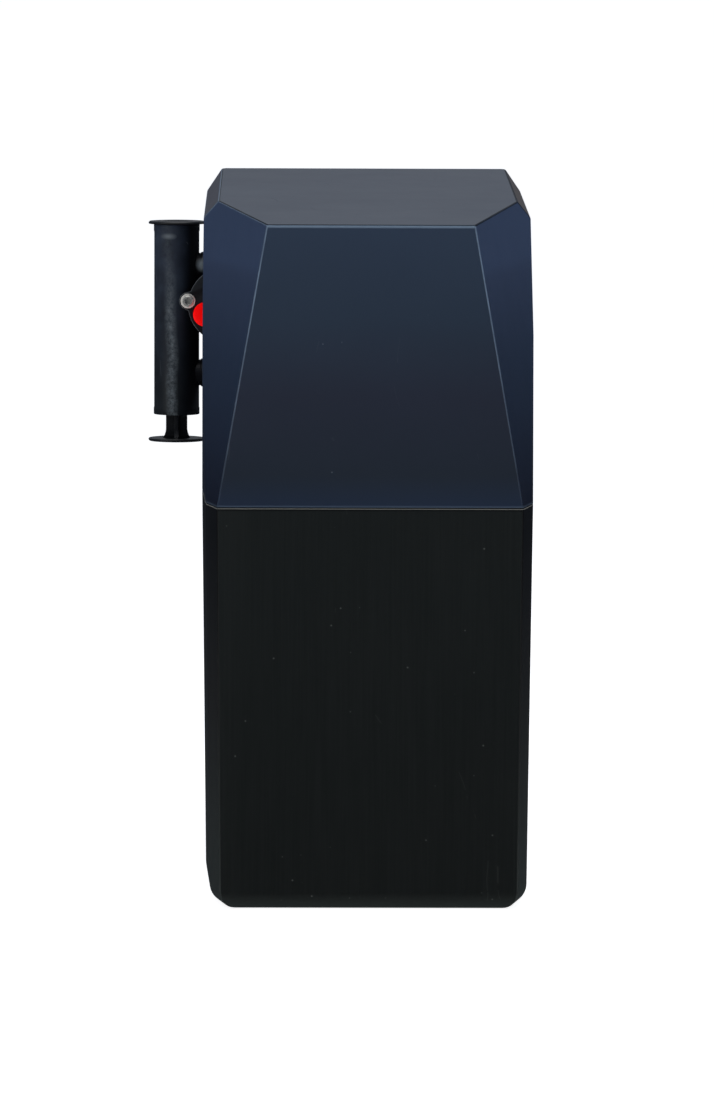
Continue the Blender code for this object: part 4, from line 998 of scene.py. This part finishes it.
def make_black_with_painted_sheen():
    finish, tree, shader, place = start_material("black_with_painted_sheen", (0.004, 0.005, 0.007), 0.42, specular=0.25)
    parts = put(tree, "ShaderNodeSeparateXYZ", None, {"Vector": place}).outputs
    # Painted light: the left side is paler and lightens towards the top, and the right side is painted in shade.
    rise = remap(tree, parts["Z"], barrel_low.z + 0.02, barrel_high.z - 0.02)
    lit = remap(tree, parts["X"], AXIS_X - 0.001, AXIS_X + 0.011, 1.0, 0.0)
    side = mix_colour(tree, rise, BARREL_LOW_TONE, BARREL_HIGH_TONE)
    cloud = noise(tree, place, 70.0, 5.0, 0.6)
    base = mix_colour(tree, maths(tree, "MULTIPLY", lit, remap(tree, cloud, 0.3, 0.7, 0.5, 1.1)), BARREL_DEEP, side)
    # A mottled whitish streak left of the middle: a painted reflection broken up by scuffs, weaker towards the top.
    sway = noise(tree, stretched(tree, place, (8.0, 8.0, 1.0)), 22.0, 2.0, 0.5)
    line = maths(tree, "ADD", remap(tree, rise, 0.0, 1.0, AXIS_X - 0.0030, AXIS_X - 0.0058),
                 remap(tree, sway, 0.2, 0.8, -0.0025, 0.0025))
    away = maths(tree, "ABSOLUTE", maths(tree, "SUBTRACT", parts["X"], line))
    streak = remap(tree, away, 0.0004, 0.0052, 1.0, 0.0)
    flecks = remap(tree, noise(tree, place, 300.0, 6.0, 0.8), 0.36, 0.66, 0.05, 1.0)
    fade = remap(tree, rise, 0.55, 0.95, 1.0, 0.25)
    scuffed_sheen = maths(tree, "MULTIPLY", maths(tree, "MULTIPLY", streak, flecks), fade)
    # Painted highlights: one near the barrel's top and one on the upper neck.
    crest = painted_glint_spot(tree, place, (AXIS_X - 0.0060, AXIS_Y - BARREL_RADIUS, barrel_high.z - 0.0088),
                        (0.0068, 0.02, 0.0030))
    neck = painted_glint_spot(tree, place, (AXIS_X + 0.0195, AXIS_Y - 0.0108, UPPER_PORT + 0.0010), (0.0050, 0.02, 0.0060))
    marks = maths(tree, "MAXIMUM", scuffed_sheen, maths(tree, "MAXIMUM", crest, maths(tree, "MULTIPLY", neck, 1.6)))
    lines = use_group(tree, hairline_group, vector=place, scale=40.0, amount=0.42)["Mask"]
    marks = maths(tree, "MAXIMUM", marks, maths(tree, "MULTIPLY", lines, 0.35))
    tree.links.new(mix_colour(tree, marks, base, BARREL_SCUFF_AND_SHEEN), shader.inputs["Base Color"])
    grain = use_group(tree, grain_group, vector=place, scale=1500.0, wave=0.6)["Height"]
    relief(tree, shader, grain, 0.15, 0.0001)
    tree.links.new(remap(tree, scuffed_sheen, 0.0, 1.0, 0.40, 0.55), shader.inputs["Roughness"])
    return finish


black_with_painted_sheen = make_black_with_painted_sheen()

# %% Barrel, ports and necks


def make_barrel():
    """The open tube, with a slightly thicker collar at each end."""
    length = barrel_high.z - barrel_low.z
    collar, lip = 0.0003, 0.0050
    profile = [
        (BARREL_BORE, 0.0),
        (BARREL_RADIUS, 0.0),
        (BARREL_RADIUS, lip),
        (BARREL_RADIUS - collar, lip + 0.0006),
        (BARREL_RADIUS - collar, length - lip - 0.0006),
        (BARREL_RADIUS, length - lip),
        (BARREL_RADIUS, length),
        (BARREL_BORE, length),
    ]
    return lathe("barrel_tube", profile, (AXIS_X, AXIS_Y, barrel_low.z), black_with_painted_sheen, "cabinet",
                 steps=96, soften=0.0005, replaced=["bypass_barrel"])


def threaded_profile(start, end, bore, radius):
    """(radius, height) points of a pipe whose outer end is threaded, as rings."""
    profile = [(bore, start), (radius - THREAD_DEPTH, start)]
    height = end - 0.018
    profile.append((radius - THREAD_DEPTH, height))
    while height < end - 0.003:
        profile += [(radius, height + 0.35 * THREAD_PITCH), (radius, height + 0.50 * THREAD_PITCH),
                    (radius - THREAD_DEPTH, height + 0.85 * THREAD_PITCH)]
        height += THREAD_PITCH
    profile += [(radius - THREAD_DEPTH, end - 0.0008), (radius - 0.0018, end), (bore, end)]
    return profile


barrel = make_barrel()
for level, height in (("upper", UPPER_PORT), ("lower", LOWER_PORT)):
    port = threaded_profile(0.0145, PORT_REACH, PORT_BORE, PORT_RADIUS)
    lathe(f"{level}_port", port, (AXIS_X, AXIS_Y, height), moulded_black, "cabinet", TURN_BACK,
          soften=0.0)
    neck = [(0.0050, 0.0140), (0.0100, 0.0140), (0.0100, 0.0185), (0.0108, 0.0190), (0.0108, 0.0232),
            (0.0069, 0.0236), (0.0069, 0.0350), (0.0062, 0.0358), (0.0050, 0.0358)]
    lathe(f"{level}_neck", neck, (AXIS_X, AXIS_Y, height), black_with_painted_sheen, "cabinet", TURN_RIGHT,
          soften=0.0002)

bolt_middle = centre_of("mixing_bolt_1")
plate_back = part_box("mixing_cover")[1].y
boss = [(0.0, 0.0), (0.0054, 0.0), (0.0054, 0.0115), (0.0, 0.0115)]
lathe("bolt_boss", boss, (bolt_middle.x, plate_back + 0.0004, bolt_middle.z), moulded_black,
      "cabinet", TURN_BACK)
print("barrel radius", BARREL_RADIUS, "ports at", round(UPPER_PORT, 4), round(LOWER_PORT, 4))

# %% Spool and its two discs
DISC_RADIUS = (spool_high.x - spool_low.x) / 2
DISC_THICK = 0.0022
CORE = 0.0050
LAND = BARREL_BORE - 0.0004
LAND_HALF = 0.0040
GROOVE = 0.0100
GROOVE_HALF = 0.0013


def make_spool():
    """The upper disc with a shallow dish in it, and the stem with its four grooved lands."""
    top = spool_high.z
    under = top - DISC_THICK
    profile = [(0.0, top - 0.0009), (0.0125, top - 0.0009), (0.0145, top), (DISC_RADIUS - 0.0009, top),
               (DISC_RADIUS, top - 0.0009), (DISC_RADIUS, under + 0.0004), (DISC_RADIUS - 0.0004, under),
               (CORE + 0.0015, under), (CORE, under - 0.0015)]
    for number_of_ring in (1, 2, 3, 4):
        z = centre_of(f"spool_ring_{number_of_ring}").z
        profile += [(CORE, z + LAND_HALF), (LAND, z + LAND_HALF), (LAND, z + GROOVE_HALF), (GROOVE, z + GROOVE_HALF),
                    (GROOVE, z - GROOVE_HALF), (LAND, z - GROOVE_HALF), (LAND, z - LAND_HALF), (CORE, z - LAND_HALF)]
    profile += [(CORE, spool_low.z), (0.0, spool_low.z)]
    return lathe("spool", profile, (AXIS_X, AXIS_Y, 0.0), moulded_black, "spool",
                 soften=0.00015, replaced=["bypass_spool"])


def make_lower_handle():
    """The lower disc: a cross of two ribs that flares where it meets the disc."""
    disc_top = foot_low.z + DISC_THICK
    disc = [(0.0, foot_low.z), (DISC_RADIUS - 0.0008, foot_low.z), (DISC_RADIUS, foot_low.z + 0.0008),
            (DISC_RADIUS, disc_top - 0.0004), (DISC_RADIUS - 0.0004, disc_top), (0.0, disc_top)]
    plate = lathe("lower_disc", disc, (AXIS_X, AXIS_Y, 0.0), moulded_black, "spool",
                  soften=0.0, replaced=["spool_end_disc"])
    half, rib, flare = 0.0082, 0.0016, 0.0022
    for name, turn in (("rib_across", 0.0), ("rib_along", math.pi / 2)):
        bm = bmesh.new()
        bmesh.ops.create_cube(bm, size=1.0)
        bmesh.ops.scale(bm, vec=(2 * half, 2 * rib, foot_high.z - disc_top + 0.0004), verts=bm.verts)
        bmesh.ops.translate(bm, vec=(0, 0, (foot_high.z + disc_top - 0.0004) / 2), verts=bm.verts)
        sides = [e for e in bm.edges if abs((e.verts[0].co - e.verts[1].co).z) > 0.01]
        bmesh.ops.subdivide_edges(bm, edges=sides, cuts=8, use_grid_fill=True)
        for vert in bm.verts:
            near = max(0.0, 1.0 - (vert.co.z - disc_top) / 0.005)
            vert.co.x *= 1.0 + flare / half * near * near
        round_corners(bm, 0.0003, segments=2, angle=60.0)
        shade(bm)
        bmesh.ops.rotate(bm, cent=(0, 0, 0), matrix=Matrix.Rotation(turn, 3, "Z"), verts=bm.verts)
        stand(bm, (AXIS_X, AXIS_Y, 0.0))
        add_piece(bm, f"lower_{name}", moulded_black, "spool")
    return plate


spool = make_spool()
lower_disc = make_lower_handle()
print("spool", len(spool.data.polygons), "faces")

# %% [markdown]
# ### The mixing valve
# Between the bypass and the softener sits a round cover with three lugs, held by socket screws. The red knob in it
# sets how much hard water is mixed back in. The screws are turned, and their sockets are hexagons sunk into the head.

# %% Screws and knob


def make_socket_screw(node):
    """A cylinder-head screw with a hexagon socket, on its washer, facing the front."""
    low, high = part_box(node)
    middle = centre_of(node)
    seat = low.y + 0.0042
    radius = (high.x - low.x) / 2
    head_radius = 0.0042
    washer = [(0.0033, 0.0), (radius, 0.0), (radius, 0.0008), (radius - 0.0002, 0.0010), (0.0033, 0.0010)]
    lathe(f"{node}_washer", washer, (middle.x, seat, middle.z), pressed_steel, "cabinet",
          TURN_FRONT, soften=0.0)
    shank = high.y - seat
    profile = [(0.0, -shank), (0.0025, -shank), (0.0030, -shank + 0.0005), (0.0030, 0.0011), (head_radius, 0.0011),
               (head_radius, 0.0037), (head_radius - 0.0005, 0.0042), (0.0, 0.0042)]
    bm = spin_profile(profile, 48)
    bmesh.ops.recalc_face_normals(bm, faces=bm.faces)
    crown = [f for f in bm.faces if f.normal.z > 0.99 and f.calc_center_median().z > 0.004]
    bmesh.ops.delete(bm, geom=crown, context="FACES")
    rim = [e for e in bm.edges if e.is_boundary]
    bmesh.ops.delete(bm, geom=[v for v in bm.verts if not v.link_faces], context="VERTS")
    socket = bmesh.ops.create_circle(bm, cap_ends=False, segments=6, radius=0.0026)["verts"]
    bmesh.ops.translate(bm, vec=(0, 0, 0.0042), verts=socket)
    hexagon = list({e for v in socket for e in v.link_edges})
    bmesh.ops.triangle_fill(bm, use_beauty=True, edges=rim + hexagon)
    inner = [f for f in bm.faces if all(v in socket for v in f.verts)]
    bmesh.ops.delete(bm, geom=inner, context="FACES_ONLY")
    sunk = bmesh.ops.extrude_edge_only(bm, edges=hexagon)
    floor = [v for v in sunk["geom"] if isinstance(v, bmesh.types.BMVert)]
    bmesh.ops.translate(bm, vec=(0, 0, -0.0024), verts=floor)
    bmesh.ops.contextual_create(bm, geom=[e for e in sunk["geom"] if isinstance(e, bmesh.types.BMEdge)])
    shade(bm, 30.0)
    stand(bm, (middle.x, seat, middle.z), TURN_FRONT)
    return add_piece(bm, f"{node}_head", stainless_steel, "cabinet", [node])


def make_knob():
    """The red knob: a low round button with a softly domed face."""
    low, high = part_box("mixing_knob")
    middle = centre_of("mixing_knob")
    radius = (high.x - low.x) / 2
    deep = high.y - low.y
    profile = [(0.0, -deep + 0.0072), (0.0031, -deep + 0.0072), (0.0031, 0.0006), (radius - 0.0003, 0.0006),
               (radius, 0.0010), (radius, 0.0052), (radius - 0.0005, 0.0062), (radius - 0.0014, 0.0068),
               (radius - 0.0040, 0.0071), (0.0, 0.0072)]
    return lathe("red_knob", profile, (middle.x, low.y + 0.0072, middle.z), red_plastic, "mixing_knob",
                 TURN_FRONT, soften=0.0, replaced=["mixing_knob"])


for number_of_bolt in (1, 2, 3):
    make_socket_screw(f"mixing_bolt_{number_of_bolt}")
red_knob = make_knob()

# %% [markdown]
# ## Softened copies
# The other pieces have the right shape already, but a faceted solid shades as flat patches and its edges are knife
# sharp. Each one is copied, its doubles are merged and its flat patches joined, and a narrow bevel is added where
# the piece has corners. Round walls then shade as round walls.

# %% Softened copies
# The mixing cover's outline gets a painted highlight along its rounded edges.
HIGHLIGHTED_EDGES = {"mixing_cover"}


def soften_copy(node, finish, width=0.0003, angle=40.0):
    """A merged, smooth-shaded copy of a node, with its sharp edges bevelled."""
    bm = bmesh.new()
    bm.from_mesh(frame["nodes"][node].data)
    bmesh.ops.remove_doubles(bm, verts=bm.verts, dist=1e-5)
    flat = math.radians(0.5)
    bmesh.ops.dissolve_limit(bm, angle_limit=flat, use_dissolve_boundaries=False, verts=bm.verts, edges=bm.edges)
    # A piece in that set has its bevelled edges marked for a painted highlight.
    highlighted = node in HIGHLIGHTED_EDGES
    if highlighted:
        highlight_layer = bm.faces.layers.float.new("painted_edge_highlight")
        for face in round_corners(bm, width, angle=60.0, clamp=False):
            face[highlight_layer] = 1.0
    shade(bm, angle)
    body = frame["nodes"][node]["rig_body"]
    piece = add_piece(bm, f"{node}_skin", finish, body, [node], recalculate=False)
    if width and not highlighted:
        bevel = piece.modifiers.new("Soft edges", "BEVEL")
        bevel.width = width
        bevel.segments = 2
        bevel.limit_method = "ANGLE"
        bevel.angle_limit = math.radians(angle)
        bevel.harden_normals = True
        bevel.use_clamp_overlap = True
    return piece


FINISHES = {
    "moulded_black": moulded_black,
    "white_plastic": white_plastic,
    "acetal": acetal,
    "red_plastic": red_plastic,
    "navy_plastic": navy_satin,
    "black_plastic": black_satin,
    "stainless_steel": stainless_steel,
    "seal_rubber": seal_rubber,
    "ceramic": ceramic,
    "tank_shell": tank_winding,
    "resin_beads": resin_beads,
}
DONE = {"hood", "cabinet_base", "bypass_barrel", "bypass_spool", "spool_end_disc", "mixing_bolt_1", "mixing_bolt_2",
        "mixing_bolt_3", "mixing_knob"}
WIDE = {"valve_body": 0.0006, "gear_cover": 0.0006, "manifold": 0.0008, "mixing_cover": 0.0005, "salt_grid": 0.0004}
NO_BEVEL = {"tank_left", "tank_right", "brine_line", "resin_bed_left", "resin_bed_right", "lay_gear", "control_gear"}

softened = 0
for part in frame["record"]["subparts"]:
    node_name, slot_name = part["node"], part["material_slot"]
    if node_name in DONE:
        continue
    edge = 0.0 if node_name in NO_BEVEL else WIDE.get(node_name, 0.0002)
    soften_copy(node_name, FINISHES[slot_name], edge)
    softened += 1
print("softened copies", softened)

# %% [markdown]
# ## The hidden solids
# The solids that the new pieces replace stay in the model for collision. They get the finish of their slot too, so
# nothing plain is left anywhere.

# %% Finishes on the solids
for part in frame["record"]["subparts"]:
    solid = frame["nodes"][part["node"]].data
    solid.materials.clear()
    solid.materials.append(FINISHES[part["material_slot"]])
